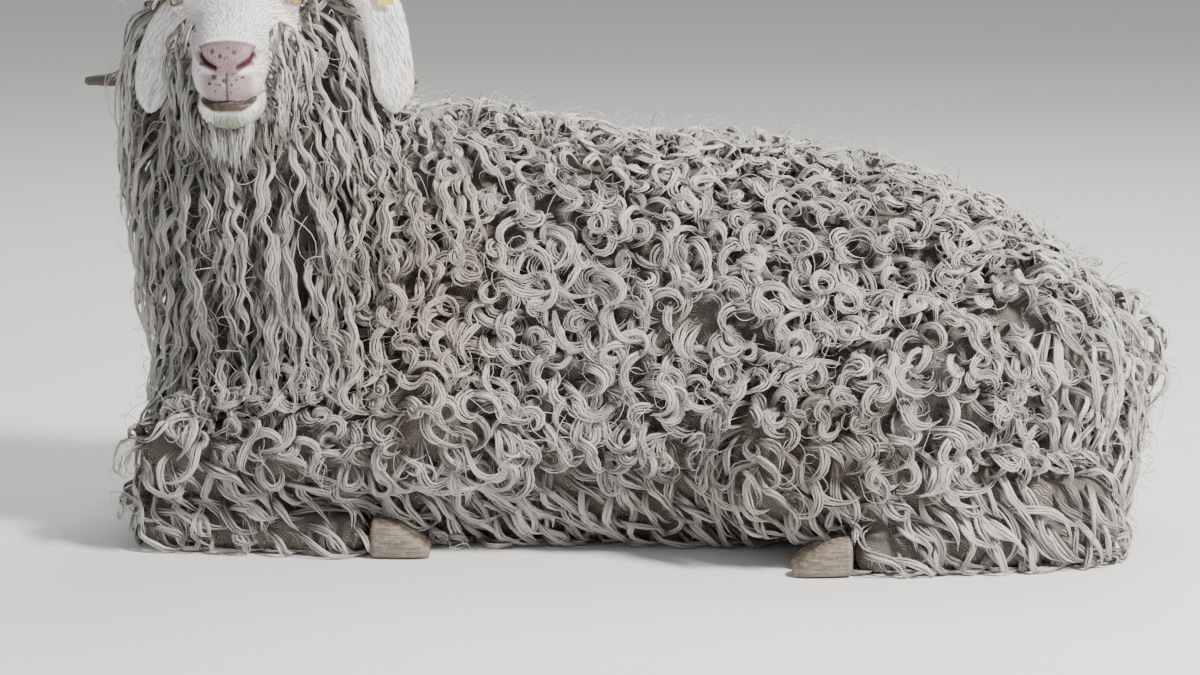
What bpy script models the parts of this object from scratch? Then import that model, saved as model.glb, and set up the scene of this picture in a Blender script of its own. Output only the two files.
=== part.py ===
"""An angora goat at life size, lying down with its head turned to its left.

The goat's body faces -X, its head looks along -Y, +Z is up and the floor is Z = 0. The origin is in
the middle of the flat on which the belly rests. All sizes are in metres.

The fleece body is modelled whole from lofts and is then parted into its named pieces by thin cuts.
"""

import math
import random

import bpy
import numpy as np
from mathutils import Matrix, Vector

GAP = 0.0003
FLOOR_DEPTH = 0.2

# The coat's depth over the flesh, and how far below the coat's outside the solids' core lies.
COAT_DEPTH = 0.050
CORE_DEPTH = 0.024
SEED = 12

# Each trunk row: x, top, height of the widest line, half width, bottom. It is the coat's outside.
TRUNK = (
    (-0.452, 0.175, 0.105, 0.070, 0.030),
    (-0.425, 0.240, 0.115, 0.115, -0.030),
    (-0.350, 0.320, 0.130, 0.152, -0.046),
    (-0.260, 0.385, 0.140, 0.172, -0.048),
    (-0.180, 0.400, 0.145, 0.180, -0.048),
    (-0.080, 0.386, 0.145, 0.188, -0.048),
    (0.000, 0.373, 0.140, 0.194, -0.048),
    (0.080, 0.371, 0.138, 0.196, -0.048),
    (0.160, 0.359, 0.136, 0.196, -0.048),
    (0.240, 0.345, 0.132, 0.196, -0.048),
    (0.320, 0.314, 0.126, 0.188, -0.048),
    (0.380, 0.280, 0.118, 0.168, -0.046),
    (0.430, 0.236, 0.108, 0.135, -0.038),
    (0.456, 0.190, 0.098, 0.090, 0.010),
)
TRUNK_POWER = 2.2

# Each neck row: centre x, y, z, then the half widths along X and along Y.
NECK = (
    (-0.300, 0.000, 0.120, 0.150, 0.130),
    (-0.332, -0.005, 0.240, 0.143, 0.145),
    (-0.352, -0.008, 0.340, 0.135, 0.140),
    (-0.364, -0.004, 0.430, 0.127, 0.124),
    (-0.367, 0.006, 0.500, 0.112, 0.104),
    (-0.368, 0.016, 0.548, 0.080, 0.074),
)

# The head's own frame has its origin between the nostrils. A head row: distance behind the nose,
# half width, top, bottom. The jaw is a second, narrower form under the upper lip.
NOSE = Vector((-0.369, -0.220, 0.461))
HEAD_YAW = math.radians(2.0)
HEAD_PITCH = math.radians(-1.0)
SKULL = (
    (-0.006, 0.013, 0.005, -0.026),
    (0.002, 0.0235, 0.014, -0.036),
    (0.014, 0.0300, 0.0195, -0.0405),
    (0.030, 0.0325, 0.0245, -0.0400),
    (0.050, 0.0330, 0.0330, -0.0370),
    (0.075, 0.0375, 0.0460, -0.0360),
    (0.098, 0.0490, 0.0610, -0.0420),
    (0.120, 0.0560, 0.0740, -0.0480),
    (0.145, 0.0580, 0.0860, -0.0500),
    (0.170, 0.0540, 0.0910, -0.0450),
    (0.195, 0.0440, 0.0850, -0.0300),
    (0.212, 0.0300, 0.0700, -0.0050),
)
JAW = (
    (0.002, 0.0130, -0.034, -0.050),
    (0.008, 0.0215, -0.030, -0.057),
    (0.022, 0.0255, -0.024, -0.061),
    (0.045, 0.0270, -0.018, -0.061),
    (0.080, 0.0340, -0.010, -0.067),
    (0.115, 0.0430, 0.000, -0.078),
    (0.145, 0.0460, 0.010, -0.080),
    (0.172, 0.0380, 0.010, -0.062),
)

EYE_RADIUS = 0.0125
EYE_SPOT = Vector((0.0455, -0.115, 0.0475))
EYE_OUT = Vector((0.90, 0.38, 0.10))

# A horn's curve in the head's frame, on the goat's left: across, forward, up, then its half width.
HORN = (
    (0.022, -0.150, 0.070, 0.0175),
    (0.030, -0.180, 0.112, 0.0172),
    (0.052, -0.232, 0.136, 0.0160),
    (0.074, -0.290, 0.118, 0.0143),
    (0.088, -0.330, 0.055, 0.0122),
    (0.100, -0.336, -0.010, 0.0102),
    (0.126, -0.330, -0.040, 0.0082),
    (0.158, -0.322, -0.044, 0.0048),
)

# Each ear's curve in the same frame, then its half width. The right ear lies closer to the cheek.
LEFT_EAR = (
    (0.050, -0.154, 0.042, 0.0130),
    (0.070, -0.151, 0.060, 0.0160),
    (0.103, -0.146, 0.066, 0.0185),
    (0.128, -0.142, 0.042, 0.0200),
    (0.138, -0.141, 0.005, 0.0205),
    (0.142, -0.141, -0.035, 0.0200),
    (0.143, -0.142, -0.060, 0.0120),
)
RIGHT_EAR = (
    (0.050, -0.142, 0.046, 0.0105),
    (0.062, -0.138, 0.028, 0.0150),
    (0.073, -0.135, 0.002, 0.0185),
    (0.079, -0.134, -0.030, 0.0185),
    (0.081, -0.135, -0.058, 0.0110),
)
EAR_THICKNESS = 0.0045
EAR_CUP = 0.010

# The ear tag: its plate's width, thickness and height, then the radius of its stud and its button.
TAG_SIZE = (0.014, 0.0020, 0.036)
TAG_STUD = 0.0026
TAG_BUTTON = 0.0065
TAG_STUD_SPOT = Vector((0.126, 0.059))
TAG_PLATE_SPOT = Vector((0.131, 0.0555))

# The legs on the goat's left. A row: x, y, z and radius. The right legs are their mirror image.
FORELEG = (
    ((-0.180, -0.115, 0.135, 0.085), (-0.320, -0.120, 0.100, 0.062), (-0.440, -0.108, 0.078, 0.052)),
    ((-0.445, -0.108, 0.025, 0.043), (-0.360, -0.125, 0.020, 0.039), (-0.270, -0.140, 0.017, 0.036)),
)
HINDLEG = (
    ((0.330, -0.095, 0.165, 0.115), (0.230, -0.140, 0.140, 0.098), (0.120, -0.165, 0.105, 0.078)),
    ((0.110, -0.170, 0.080, 0.062), (0.260, -0.185, 0.068, 0.052), (0.400, -0.165, 0.048, 0.046)),
    ((0.405, -0.170, 0.026, 0.043), (0.300, -0.200, 0.020, 0.039), (0.200, -0.212, 0.017, 0.036)),
)
FORE_HOOF = (Vector((-0.250, -0.143, 0.0)), 0.0)
HIND_HOOF = (Vector((0.180, -0.214, 0.0)), math.pi)

TAIL = (
    (0.425, 0.000, 0.215, 0.040, 0.030),
    (0.455, 0.002, 0.185, 0.036, 0.022),
    (0.468, 0.004, 0.145, 0.030, 0.018),
    (0.472, 0.006, 0.105, 0.018, 0.012),
)


# The bulge round an eye, the lids' outside, and the half width and height of the opening in them.
ORBIT_SPOT = Vector((0.0375, -0.1180, 0.0455))
ORBIT_RADIUS = 0.0185
LID_RADIUS = 0.0150
LID_HALF = Vector((0.0118, 0.0078))
LID_SLANT = -0.20

# Half of the mouth line, corner to middle, then half of one nostril with its radius.
MOUTH = (
    (0.0345, -0.060, -0.0300),
    (0.0335, -0.045, -0.0345),
    (0.0310, -0.024, -0.0385),
    (0.0240, -0.005, -0.0402),
    (0.0125, 0.006, -0.0405),
    (0.0000, 0.009, -0.0405),
)
NOSTRIL = (
    (0.0265, -0.009, 0.0035, 0.0022),
    (0.0215, 0.000, 0.0005, 0.0036),
    (0.0145, 0.007, -0.0050, 0.0034),
    (0.0085, 0.010, -0.0090, 0.0020),
)

# The clumps of the fleece by region: distance between roots, length, half width, half thickness,
# how far a clump bows sideways as a share of its length, and the spread of its direction.
CLUMPS = {
    "trunk": (0.055, 0.104, 0.0340, 0.0215, 0.26, 40),
    "rump": (0.054, 0.115, 0.0300, 0.0210, 0.12, 18),
    "neck": (0.049, 0.118, 0.0260, 0.0200, 0.14, 14),
    "leg": (0.060, 0.095, 0.0330, 0.0180, 0.16, 25),
    "poll": (0.034, 0.066, 0.0190, 0.0120, 0.18, 30),
}
# The share of triangles kept when the slivers along the clumps' crossings are merged away.
THIN_RATIO = 0.33
CLUMP_SIDES = 6
CLUMP_ROWS = ((0.04, -0.20, 0.66), (0.30, 0.22, 0.98), (0.60, 0.30, 0.94), (0.88, -0.02, 0.58))

# Locks set by hand in the head's frame: the root, then where it bends, then the tip, as across,
# forward, up, and the half width at the root. The forelock falls over the brow, the beard off the chin.
FORELOCK = (
    ((0.000, -0.160, 0.086), (0.004, -0.128, 0.098), (0.006, -0.092, 0.076), 0.0150),
    ((0.018, -0.156, 0.084), (0.028, -0.124, 0.092), (0.030, -0.094, 0.066), 0.0140),
    ((-0.018, -0.156, 0.084), (-0.027, -0.122, 0.092), (-0.024, -0.090, 0.070), 0.0140),
    ((0.036, -0.158, 0.072), (0.052, -0.132, 0.080), (0.060, -0.108, 0.052), 0.0130),
    ((-0.036, -0.158, 0.072), (-0.052, -0.132, 0.080), (-0.059, -0.106, 0.054), 0.0130),
)
BEARD = (
    ((0.000, -0.034, -0.052), (0.001, -0.026, -0.078), (0.004, -0.034, -0.104), 0.0125),
    ((0.014, -0.044, -0.054), (0.018, -0.038, -0.080), (0.011, -0.044, -0.100), 0.0110),
    ((-0.014, -0.044, -0.054), (-0.017, -0.040, -0.078), (-0.013, -0.046, -0.102), 0.0110),
    ((0.004, -0.064, -0.060), (0.000, -0.062, -0.088), (-0.005, -0.066, -0.110), 0.0120),
)

CLAW = ((0.000, 0.0140, 0.036), (0.018, 0.0150, 0.032), (0.038, 0.0130, 0.020), (0.050, 0.0080, 0.010))
CLAW_MERGE = 0.0012
CLAW_SPLAY = 0.06

# Each cell: a convex outline, the axis it is pushed along, and how far. They part the whole body.
FLOOR_OUTLINE = ((-1.0, -1.0), (1.0, -1.0), (1.0, 1.0), (-1.0, 1.0))
HEAD_CELL = (((-0.40, 0.368), (-0.066, 0.368), (0.048, 0.600), (0.048, 0.80), (-0.40, 0.80)), 0, -0.60, -0.222)
NECK_CELL = (((-0.60, 0.160), (-0.130, 0.426), (-0.130, 0.80), (-0.60, 0.80)), 1, -0.40, 0.40)
TAIL_CELL = (((0.448, 0.080), (0.60, 0.080), (0.60, 0.250), (0.448, 0.250)), 1, -0.045, 0.052)
FORELEG_CELL = (
    ((-0.60, -0.01), (-0.17, -0.01), (-0.17, 0.070), (-0.27, 0.125), (-0.60, 0.145)),
    1,
    -0.30,
    -0.045,
)
HINDLEG_CELL = (
    ((0.03, -0.01), (0.50, -0.01), (0.50, 0.090), (0.38, 0.230), (0.24, 0.245), (0.03, 0.130)),
    1,
    -0.32,
    -0.105,
)


def catmull(rows, count):
    """Rows read along one smooth curve through the given rows, at evenly spaced parameters."""
    keys = np.asarray(rows, float)
    padded = np.vstack([2 * keys[0] - keys[1], keys, 2 * keys[-1] - keys[-2]])
    out = []
    for s in np.linspace(0, len(keys) - 1, count):
        i = min(int(s), len(keys) - 2)
        t = s - i
        a, b, c, d = padded[i : i + 4]
        cubic = 3 * b - a - 3 * c + d
        square = 2 * a - 5 * b + 4 * c - d
        out.append(b + 0.5 * t * (c - a + t * (square + t * cubic)))
    return np.array(out)


def new_object(name, verts, faces, collection=None):
    """A mesh object of triangles, so that a form and its grown copy fold along the same lines."""
    triangles = [(f[0], b, c) for f in faces for b, c in zip(f[1:-1], f[2:])]
    mesh = bpy.data.meshes.new(name)
    mesh.from_pydata([tuple(v) for v in verts], [], triangles)
    obj = bpy.data.objects.new(name, mesh)
    (collection or bpy.context.scene.collection).objects.link(obj)
    return obj


def loft(rings):
    """Vertices and faces of a closed form through rings of equal length, with a point at each end."""
    rings = [np.asarray(r, float) for r in rings]
    sides = len(rings[0])
    verts = [r for ring in rings for r in ring]
    faces = []
    for i in range(len(rings) - 1):
        for j in range(sides):
            k = (j + 1) % sides
            faces.append((i * sides + j, i * sides + k, (i + 1) * sides + k, (i + 1) * sides + j))
    for ring, first in ((rings[0], 0), (rings[-1], (len(rings) - 1) * sides)):
        verts.append(ring.mean(axis=0))
        pole = len(verts) - 1
        for j in range(sides):
            k = (j + 1) % sides
            faces.append((first + k, first + j, pole) if first == 0 else (first + j, first + k, pole))
    return verts, faces


def facing_out(verts, faces):
    """The faces, turned round where they enclose a negative volume."""
    points = np.asarray(verts, float)
    volume = 0.0
    for face in faces:
        a = points[face[0]]
        for b, c in zip(face[1:-1], face[2:]):
            volume += np.dot(a, np.cross(points[b], points[c]))
    return faces if volume > 0 else [tuple(reversed(face)) for face in faces]


def lofted(name, rings, collection=None):
    verts, faces = loft(rings)
    return new_object(name, verts, facing_out(verts, faces), collection)


def rounded(value, power):
    return math.copysign(abs(value) ** (2 / power), value)


def oval(half, top, bottom, middle, power, sides):
    """Points round a superellipse: across, up. The two halves meet at the widest line."""
    points = []
    for j in range(sides):
        a = 2 * math.pi * j / sides
        height = top - middle if math.sin(a) > 0 else middle - bottom
        points.append((half * rounded(math.cos(a), power), middle + height * rounded(math.sin(a), power)))
    return points


def tube_rings(rows, count, sides):
    """Rings across a curve. A row holds x, y, z, the half width and, where given, the half height."""
    read = catmull(rows, count)
    rings = []
    across = None
    for i, row in enumerate(read):
        ahead = read[min(i + 1, count - 1)][:3] - read[max(i - 1, 0)][:3]
        ahead = Vector(ahead).normalized()
        if across is None:
            across = ahead.cross(Vector((0, 0, 1)))
            if across.length < 0.2:
                across = ahead.cross(Vector((0, 1, 0)))
        across = (across - across.dot(ahead) * ahead).normalized()
        up = across.cross(ahead)
        wide, high = row[3], row[-1]
        centre = Vector(row[:3])
        ring = []
        for j in range(sides):
            a = 2 * math.pi * j / sides
            ring.append(centre + across * wide * math.cos(a) + up * high * math.sin(a))
        rings.append(ring)
    return rings


def rounded_ends(rings, reach=0.45):
    """The rings with a smaller one added past each end, so that the form closes in a dome."""
    out = [np.asarray(r, float) for r in rings]
    for end, beside in ((0, 1), (-1, -2)):
        centre = out[end].mean(axis=0)
        ahead = centre - out[beside].mean(axis=0)
        ahead /= np.linalg.norm(ahead)
        radius = np.linalg.norm(out[end] - centre, axis=1).mean()
        small = centre + (out[end] - centre) * 0.6 + ahead * radius * reach
        if end == 0:
            out.insert(0, small)
        else:
            out.append(small)
    return out


def mirrored(rows):
    return tuple((r[0], -r[1], *r[2:]) for r in rows)


def head_matrix():
    return Matrix.Translation(NOSE) @ Matrix.Rotation(HEAD_YAW, 4, "Z") @ Matrix.Rotation(HEAD_PITCH, 4, "X")


def in_head(across, forward, up):
    """A world point from the head's frame: across to the goat's left, forward past the nose, up."""
    return head_matrix() @ Vector((across, -forward, up))


def trunk_rings(count=20, sides=26):
    rings = []
    for x, top, middle, half, bottom in catmull(TRUNK, count):
        rings.append([(x, y, z) for y, z in oval(half, top, bottom, middle, TRUNK_POWER, sides)])
    return rounded_ends(rings, 0.12)


def neck_rings(count=9, sides=20):
    rings = []
    for x, y, z, half_x, half_y in catmull(NECK, count):
        ring = []
        for j in range(sides):
            a = 2 * math.pi * j / sides
            ring.append((x + half_x * math.cos(a), y + half_y * math.sin(a), z))
        rings.append(ring)
    return rounded_ends(rings)


def head_rings(rows, power, count, sides):
    rings = []
    for behind, half, top, bottom in catmull(rows, count):
        middle = (top + bottom) / 2
        points = oval(half, top, bottom, middle, power, sides)
        rings.append([in_head(y, -behind, z) for y, z in points])
    return rounded_ends(rings, 0.2)


def horn(name, side):
    rows = [(*in_head(side * r[0], r[1], r[2]), r[3]) for r in HORN]
    return lofted(name, rounded_ends(tube_rings(rows, 15, 9), 0.6))


def ball(name, centre, radius, collection=None, sides=12):
    rings = []
    for i in range(1, sides // 2):
        a = math.pi * i / (sides // 2)
        ring = []
        for j in range(sides):
            b = 2 * math.pi * j / sides
            ring.append(centre + radius * Vector((math.sin(a) * math.cos(b), math.sin(a) * math.sin(b), math.cos(a))))
        rings.append(ring)
    verts, faces = loft(rings)
    verts[-2] = centre + Vector((0, 0, radius))
    verts[-1] = centre - Vector((0, 0, radius))
    return new_object(name, verts, facing_out(verts, faces), collection)


def eye_centre(side):
    return in_head(side * EYE_SPOT.x, EYE_SPOT.y, EYE_SPOT.z)


def ear_rows(side):
    rows = []
    for across, forward, up, half in LEFT_EAR if side > 0 else RIGHT_EAR:
        rows.append((*in_head(side * across, forward, up), half))
    return rows


def ear(name, side, count=10, arc=5):
    """A leaf hollowed on the side that faces back, with the same wall all over."""
    read = catmull(ear_rows(side), count)
    outward = Vector((0.35 * side, -1.0, 0.15)).normalized()
    rings = []
    for i, row in enumerate(read):
        ahead = Vector(read[min(i + 1, count - 1)][:3] - read[max(i - 1, 0)][:3]).normalized()
        across = ahead.cross(outward).normalized()
        out = across.cross(ahead)
        half = row[3]
        ring = []
        for sheet in (1, -1):
            wide = half if sheet > 0 else half - EAR_THICKNESS * 0.7
            deep = EAR_CUP if sheet > 0 else EAR_CUP - EAR_THICKNESS
            for j in range(arc):
                a = math.radians(156) * (j / (arc - 1) - 0.5) * sheet
                ring.append(Vector(row[:3]) + across * wide * math.sin(a) + out * (deep * math.cos(a) - EAR_CUP / 2))
        rings.append(ring)
    verts, faces = loft(rings)
    sides = 2 * arc
    faces = faces[: (count - 1) * sides]
    for first, turned in ((0, True), ((count - 1) * sides, False)):
        for j in range(arc - 1):
            near, far = first + j, first + sides - 1 - j
            strip = (near, near + 1, far - 1, far)
            faces.append(strip[::-1] if turned else strip)
    return new_object(name, verts[:-2], facing_out(verts, faces))


def boolean(obj, other, operation):
    """Applies one Boolean to obj. other is an object or a collection, and is removed."""
    modifier = obj.modifiers.new("boolean", "BOOLEAN")
    modifier.solver = "MANIFOLD"
    modifier.operation = operation
    if isinstance(other, bpy.types.Collection):
        modifier.operand_type = "COLLECTION"
        modifier.collection = other
    else:
        modifier.object = other
    graph = bpy.context.evaluated_depsgraph_get()
    mesh = bpy.data.meshes.new_from_object(obj.evaluated_get(graph))
    obj.modifiers.clear()
    obj.data = mesh
    used = list(other.objects) if isinstance(other, bpy.types.Collection) else [other]
    for piece in used:
        bpy.data.objects.remove(piece)
    if isinstance(other, bpy.types.Collection):
        bpy.data.collections.remove(other)
    return obj


def claw_rings(spot, turn, side):
    """One claw: flat below, its toe pointing along X after the turn."""
    frame = Matrix.Translation(spot) @ Matrix.Rotation(turn, 4, "Z")
    rings = []
    for along, half, height in catmull(CLAW, 4):
        middle = side * (CLAW[0][1] - CLAW_MERGE + along * CLAW_SPLAY)
        ring = []
        for y, z in oval(half, height, 0.0, height * 0.3, 3.0, 8):
            ring.append(frame @ Vector((along, middle + y, z)))
        rings.append(ring)
    return rounded_ends(rings, 0.2)


def hoof(name, spot, turn):
    """Two claws of one foot, grown together at the heel."""
    first = lofted(name, claw_rings(spot, turn, 1))
    second = lofted(name + "_claw", claw_rings(spot, turn, -1))
    return boolean(first, second, "UNION")


def strand(name, rows, sides=6, count=12, collection=None):
    """A closed tube along a few points, for lids, lips and the cutters of grooves."""
    return lofted(name, rounded_ends(tube_rings(rows, count, sides)), collection)


def prism(name, outline, axis, low, high, grow=0.0):
    """A convex outline pushed along one axis. The outline is given in the other two, in X, Y, Z order."""
    count = len(outline)
    middle = np.mean(outline, axis=0)
    lines = []
    for i in range(count):
        a, b = np.array(outline[i]), np.array(outline[(i + 1) % count])
        normal = np.array((b[1] - a[1], a[0] - b[0])) / np.linalg.norm(b - a)
        if np.dot(normal, a - middle) < 0:
            normal = -normal
        lines.append((normal, np.dot(normal, a) + grow))
    corners = []
    for i in range(count):
        (n1, d1), (n2, d2) = lines[i - 1], lines[i]
        corners.append(np.linalg.solve(np.array((n1, n2)), np.array((d1, d2))))
    verts = []
    for level in (low - grow, high + grow):
        for u, v in corners:
            point = [u, v]
            point.insert(axis, level)
            verts.append(tuple(point))
    faces = [tuple(range(count)), tuple(range(2 * count - 1, count - 1, -1))]
    for i in range(count):
        j = (i + 1) % count
        faces.append((i + count, j + count, j, i))
    return new_object(name, verts, facing_out(verts, faces))


def largest_only(obj):
    """Keeps the largest closed surface: a loose scrap goes, and a sealed hollow is filled."""
    mesh = obj.data
    owner = list(range(len(mesh.vertices)))

    def root(i):
        while owner[i] != i:
            owner[i] = owner[owner[i]]
            i = owner[i]
        return i

    for edge in mesh.edges:
        a, b = root(edge.vertices[0]), root(edge.vertices[1])
        owner[a] = b
    volumes = {}
    for polygon in mesh.polygons:
        part = root(polygon.vertices[0])
        volumes[part] = volumes.get(part, 0.0) + polygon.center.dot(polygon.normal) * polygon.area
    best = max(volumes, key=volumes.get)
    kept = [p for p in mesh.polygons if root(p.vertices[0]) == best]
    used = sorted({v for p in kept for v in p.vertices})
    index = {v: i for i, v in enumerate(used)}
    verts = [mesh.vertices[v].co.copy() for v in used]
    faces = [tuple(index[v] for v in p.vertices) for p in kept]
    clean = bpy.data.meshes.new(obj.name)
    clean.from_pydata(verts, [], faces)
    obj.data = clean
    return obj


def copy_of(obj, name):
    other = bpy.data.objects.new(name, obj.data.copy())
    bpy.context.scene.collection.objects.link(other)
    return other


def parted(whole, name, outline, axis, low, high):
    """Cuts the piece inside a prism off the whole, which loses it and a thin gap round it."""
    piece = copy_of(whole, name)
    boolean(piece, prism(name + "_cell", outline, axis, low, high), "INTERSECT")
    boolean(whole, prism(name + "_cell", outline, axis, low, high, GAP), "DIFFERENCE")
    return largest_only(piece)


def grown(obj, amount=GAP):
    """Moves every corner out along its normal, far enough that the faces move out by the amount."""
    mesh = obj.data
    faces_at = [[] for v in mesh.vertices]
    for polygon in mesh.polygons:
        for v in polygon.vertices:
            faces_at[v].append(polygon.normal)
    moved = []
    for vertex, normals in zip(mesh.vertices, faces_at):
        ahead = sum(normals, Vector()).normalized()
        least = max(0.4, min(ahead.dot(n) for n in normals))
        moved.append(vertex.co + ahead * amount / least)
    for vertex, place in zip(mesh.vertices, moved):
        vertex.co = place
    return obj


def material(name, colour, roughness):
    made = bpy.data.materials.new(name)
    made.use_nodes = True
    shader = made.node_tree.nodes["Principled BSDF"]
    shader.inputs["Base Color"].default_value = (*colour, 1.0)
    shader.inputs["Roughness"].default_value = roughness
    shader.inputs["Metallic"].default_value = 0.0
    return made


def coat_forms():
    """Every form that carries the fleece, at the coat's outside: name and rings."""
    forms = [("torso", trunk_rings()), ("neck_form", neck_rings())]
    forms.append(("tail_form", rounded_ends(tube_rings(TAIL, 5, 10))))
    for side in (1, -1):
        for limb, count in ((FORELEG, 5), (HINDLEG, 5)):
            for number, rows in enumerate(limb):
                rows = rows if side > 0 else mirrored(rows)
                forms.append((f"limb_form_{number}", rounded_ends(tube_rings(rows, count, 10))))
    return forms


def collected(name):
    made = bpy.data.collections.new(name)
    bpy.context.scene.collection.children.link(made)
    return made


def core_depth(name):
    return {"tail_form": 0.010, "torso": CORE_DEPTH, "neck_form": CORE_DEPTH}.get(name, 0.016)


def core():
    """The fleece's core and the bare head, as one solid with no locks and no cuts."""
    pieces = collected("core_pieces")
    trunk = None
    for name, rings in coat_forms():
        form = grown(lofted(name, rings, None if name == "torso" else pieces), -core_depth(name))
        trunk = form if name == "torso" else trunk
    lofted("skull_form", head_rings(SKULL, 2.3, 13, 16), pieces)
    lofted("jaw_form", head_rings(JAW, 2.4, 8, 12), pieces)
    for side in (1, -1):
        orbit = in_head(side * ORBIT_SPOT.x, ORBIT_SPOT.y, ORBIT_SPOT.z)
        ball("orbit_form", orbit, ORBIT_RADIUS, pieces, 10)
    return boolean(trunk, pieces, "UNION")


def head_place(point):
    """A world point as across, behind and up in the head's frame."""
    local = head_matrix().inverted() @ point
    return local.x, local.y, local.z


def region_at(point):
    """Which clumps grow at a point of the core, or None where the hair is short or hidden."""
    across, behind, up = head_place(point)
    on_head = point.y < -0.02 and up > -0.085 and abs(across) < 0.075 and behind < 0.20
    if on_head and behind < 0.150 - 0.25 * min(0.0, up):
        return None
    if on_head and up > 0.01:
        return "poll"
    if point.z < 0.022 or (point.z < 0.05 and abs(point.x) < 0.42 and abs(point.y) < 0.15):
        return None
    if point.z < 0.115 and abs(point.y) > 0.11:
        return "leg"
    if point.z > 0.30 + 0.55 * (point.x + 0.24) and point.x < -0.17:
        return "neck"
    if point.z > 0.17 + 0.62 * (point.x + 0.47) and point.x < -0.30:
        return "neck"
    return "rump" if point.x > 0.36 else "trunk"


def lie_at(point, normal, region, draw):
    """The way the coat lies: down and back on the trunk, down on the neck, rump and head."""
    if region == "trunk":
        away = math.copysign(0.9, point.y) if abs(point.y) > 0.02 else draw.choice((-0.9, 0.9))
        lie = Vector((0.30, away * max(0.0, normal.z), -0.9))
    elif region == "leg":
        lie = Vector((0.35, 0.0, -0.6))
    elif region == "poll":
        lie = Vector((0.35 * math.copysign(1, point.x - NOSE.x), -0.1, -0.9))
    else:
        lie = Vector((0.10, 0.0, -1.0)) + 0.25 * Vector((normal.x, normal.y, 0.0))
    lie -= lie.dot(normal) * normal
    if lie.length < 0.1:
        lie = Vector((0.7, draw.choice((-0.7, 0.7)), 0.0))
        lie -= lie.dot(normal) * normal
    return lie.normalized()


def root_places(obj, draw):
    """Points spread evenly over a surface, as far apart as their region asks: point, normal, region."""
    corners, areas = [], []
    for polygon in obj.data.polygons:
        points = [obj.data.vertices[v].co for v in polygon.vertices]
        for b, c in zip(points[1:-1], points[2:]):
            corners.append((points[0], b, c))
            areas.append((b - points[0]).cross(c - points[0]).length / 2)
    kept = []
    for a, b, c in draw.choices(corners, areas, k=9000):
        u, v = draw.random(), draw.random()
        if u + v > 1:
            u, v = 1 - u, 1 - v
        point = a + (b - a) * u + (c - a) * v
        region = region_at(point)
        if region is None:
            continue
        reach = CLUMPS[region][0]
        if any((point - other).length < reach for other, normal, place in kept):
            continue
        kept.append((point, (b - a).cross(c - a).normalized(), region))
    return kept


def clump(collection, root, normal, lie, sizes, draw):
    """One rounded clump: its root is sunk, its back stands up to the coat's outside, its tip lies down."""
    spacing, length, wide, thick, bow, spread = sizes
    length *= draw.uniform(0.85, 1.15)
    wide *= draw.uniform(0.88, 1.12)
    turn = Matrix.Rotation(math.radians(draw.uniform(-spread, spread)), 3, normal)
    lie = turn @ lie
    aside = normal.cross(lie) * draw.choice((-1, 1))
    rings = []
    for share, height, girth in CLUMP_ROWS:
        bend = bow * length * math.sin(math.pi * share)
        centre = root + lie * length * (share - 0.35) + aside * bend + normal * thick * 2 * height
        slope = bow * math.pi * math.cos(math.pi * share)
        ahead = (lie + aside * slope).normalized()
        across = normal.cross(ahead).normalized()
        ring = []
        for j in range(CLUMP_SIDES):
            a = 2 * math.pi * j / CLUMP_SIDES
            ring.append(centre + across * wide * girth * math.cos(a) + normal * thick * girth * math.sin(a))
        rings.append(ring)
    verts, faces = loft(rings)
    verts[-2] = verts[-2] - lie * wide * 0.45 - normal * thick * 0.8
    verts[-1] = verts[-1] + lie * wide * 0.55 - normal * thick * 0.25
    new_object("clump", verts, facing_out(verts, faces), collection)


def hand_lock(collection, rows):
    """A tapered lock through a root, a bend and a tip given in the head's frame."""
    root, bend, tip, half = rows
    shares = ((root, half), (bend, half * 0.92), (tip, half * 0.34))
    points = [(*in_head(*place), size, size * 0.62) for place, size in shares]
    lofted("lock", rounded_ends(tube_rings(points, 4, 5), 0.5), collection)


def face_pieces(pieces):
    strand("upper_lip", mouth_rows(0.0048, 0.95, 0.0042), 5, 9, pieces)
    strand("lower_lip", mouth_rows(-0.0046, 0.84, 0.0040), 5, 9, pieces)
    for side in (1, -1):
        ball("lids", eye_centre(side), LID_RADIUS, pieces)
        rim = [(*in_head(side * x, y, z + 0.0048), r * 1.25) for x, y, z, r in NOSTRIL]
        strand("nostril_rim", rim, 5, 4, pieces)


def is_closed(mesh):
    """Whether every edge of a mesh lies between exactly two faces."""
    counts = np.zeros(len(mesh.edges), int)
    for polygon in mesh.polygons:
        for loop in polygon.loop_indices:
            counts[mesh.loops[loop].edge_index] += 1
    return bool((counts == 2).all())


def thinned(obj):
    """Merges the slivers where clumps cross, but leaves the face as it is."""
    free = obj.vertex_groups.new(name="free")
    for vertex in obj.data.vertices:
        across, behind, up = head_place(vertex.co)
        on_face = vertex.co.y < -0.03 and behind < 0.15 and up > -0.09 and abs(across) < 0.08
        free.add([vertex.index], 0.0 if on_face else 1.0, "REPLACE")
    modifier = obj.modifiers.new("thin", "DECIMATE")
    modifier.vertex_group = free.name
    modifier.vertex_group_factor = 1.0
    for step in range(12):
        modifier.ratio = THIN_RATIO + 0.02 * step
        graph = bpy.context.evaluated_depsgraph_get()
        mesh = bpy.data.meshes.new_from_object(obj.evaluated_get(graph))
        if is_closed(mesh):
            obj.data = mesh
            break
    obj.modifiers.clear()
    obj.vertex_groups.clear()
    return obj


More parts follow.
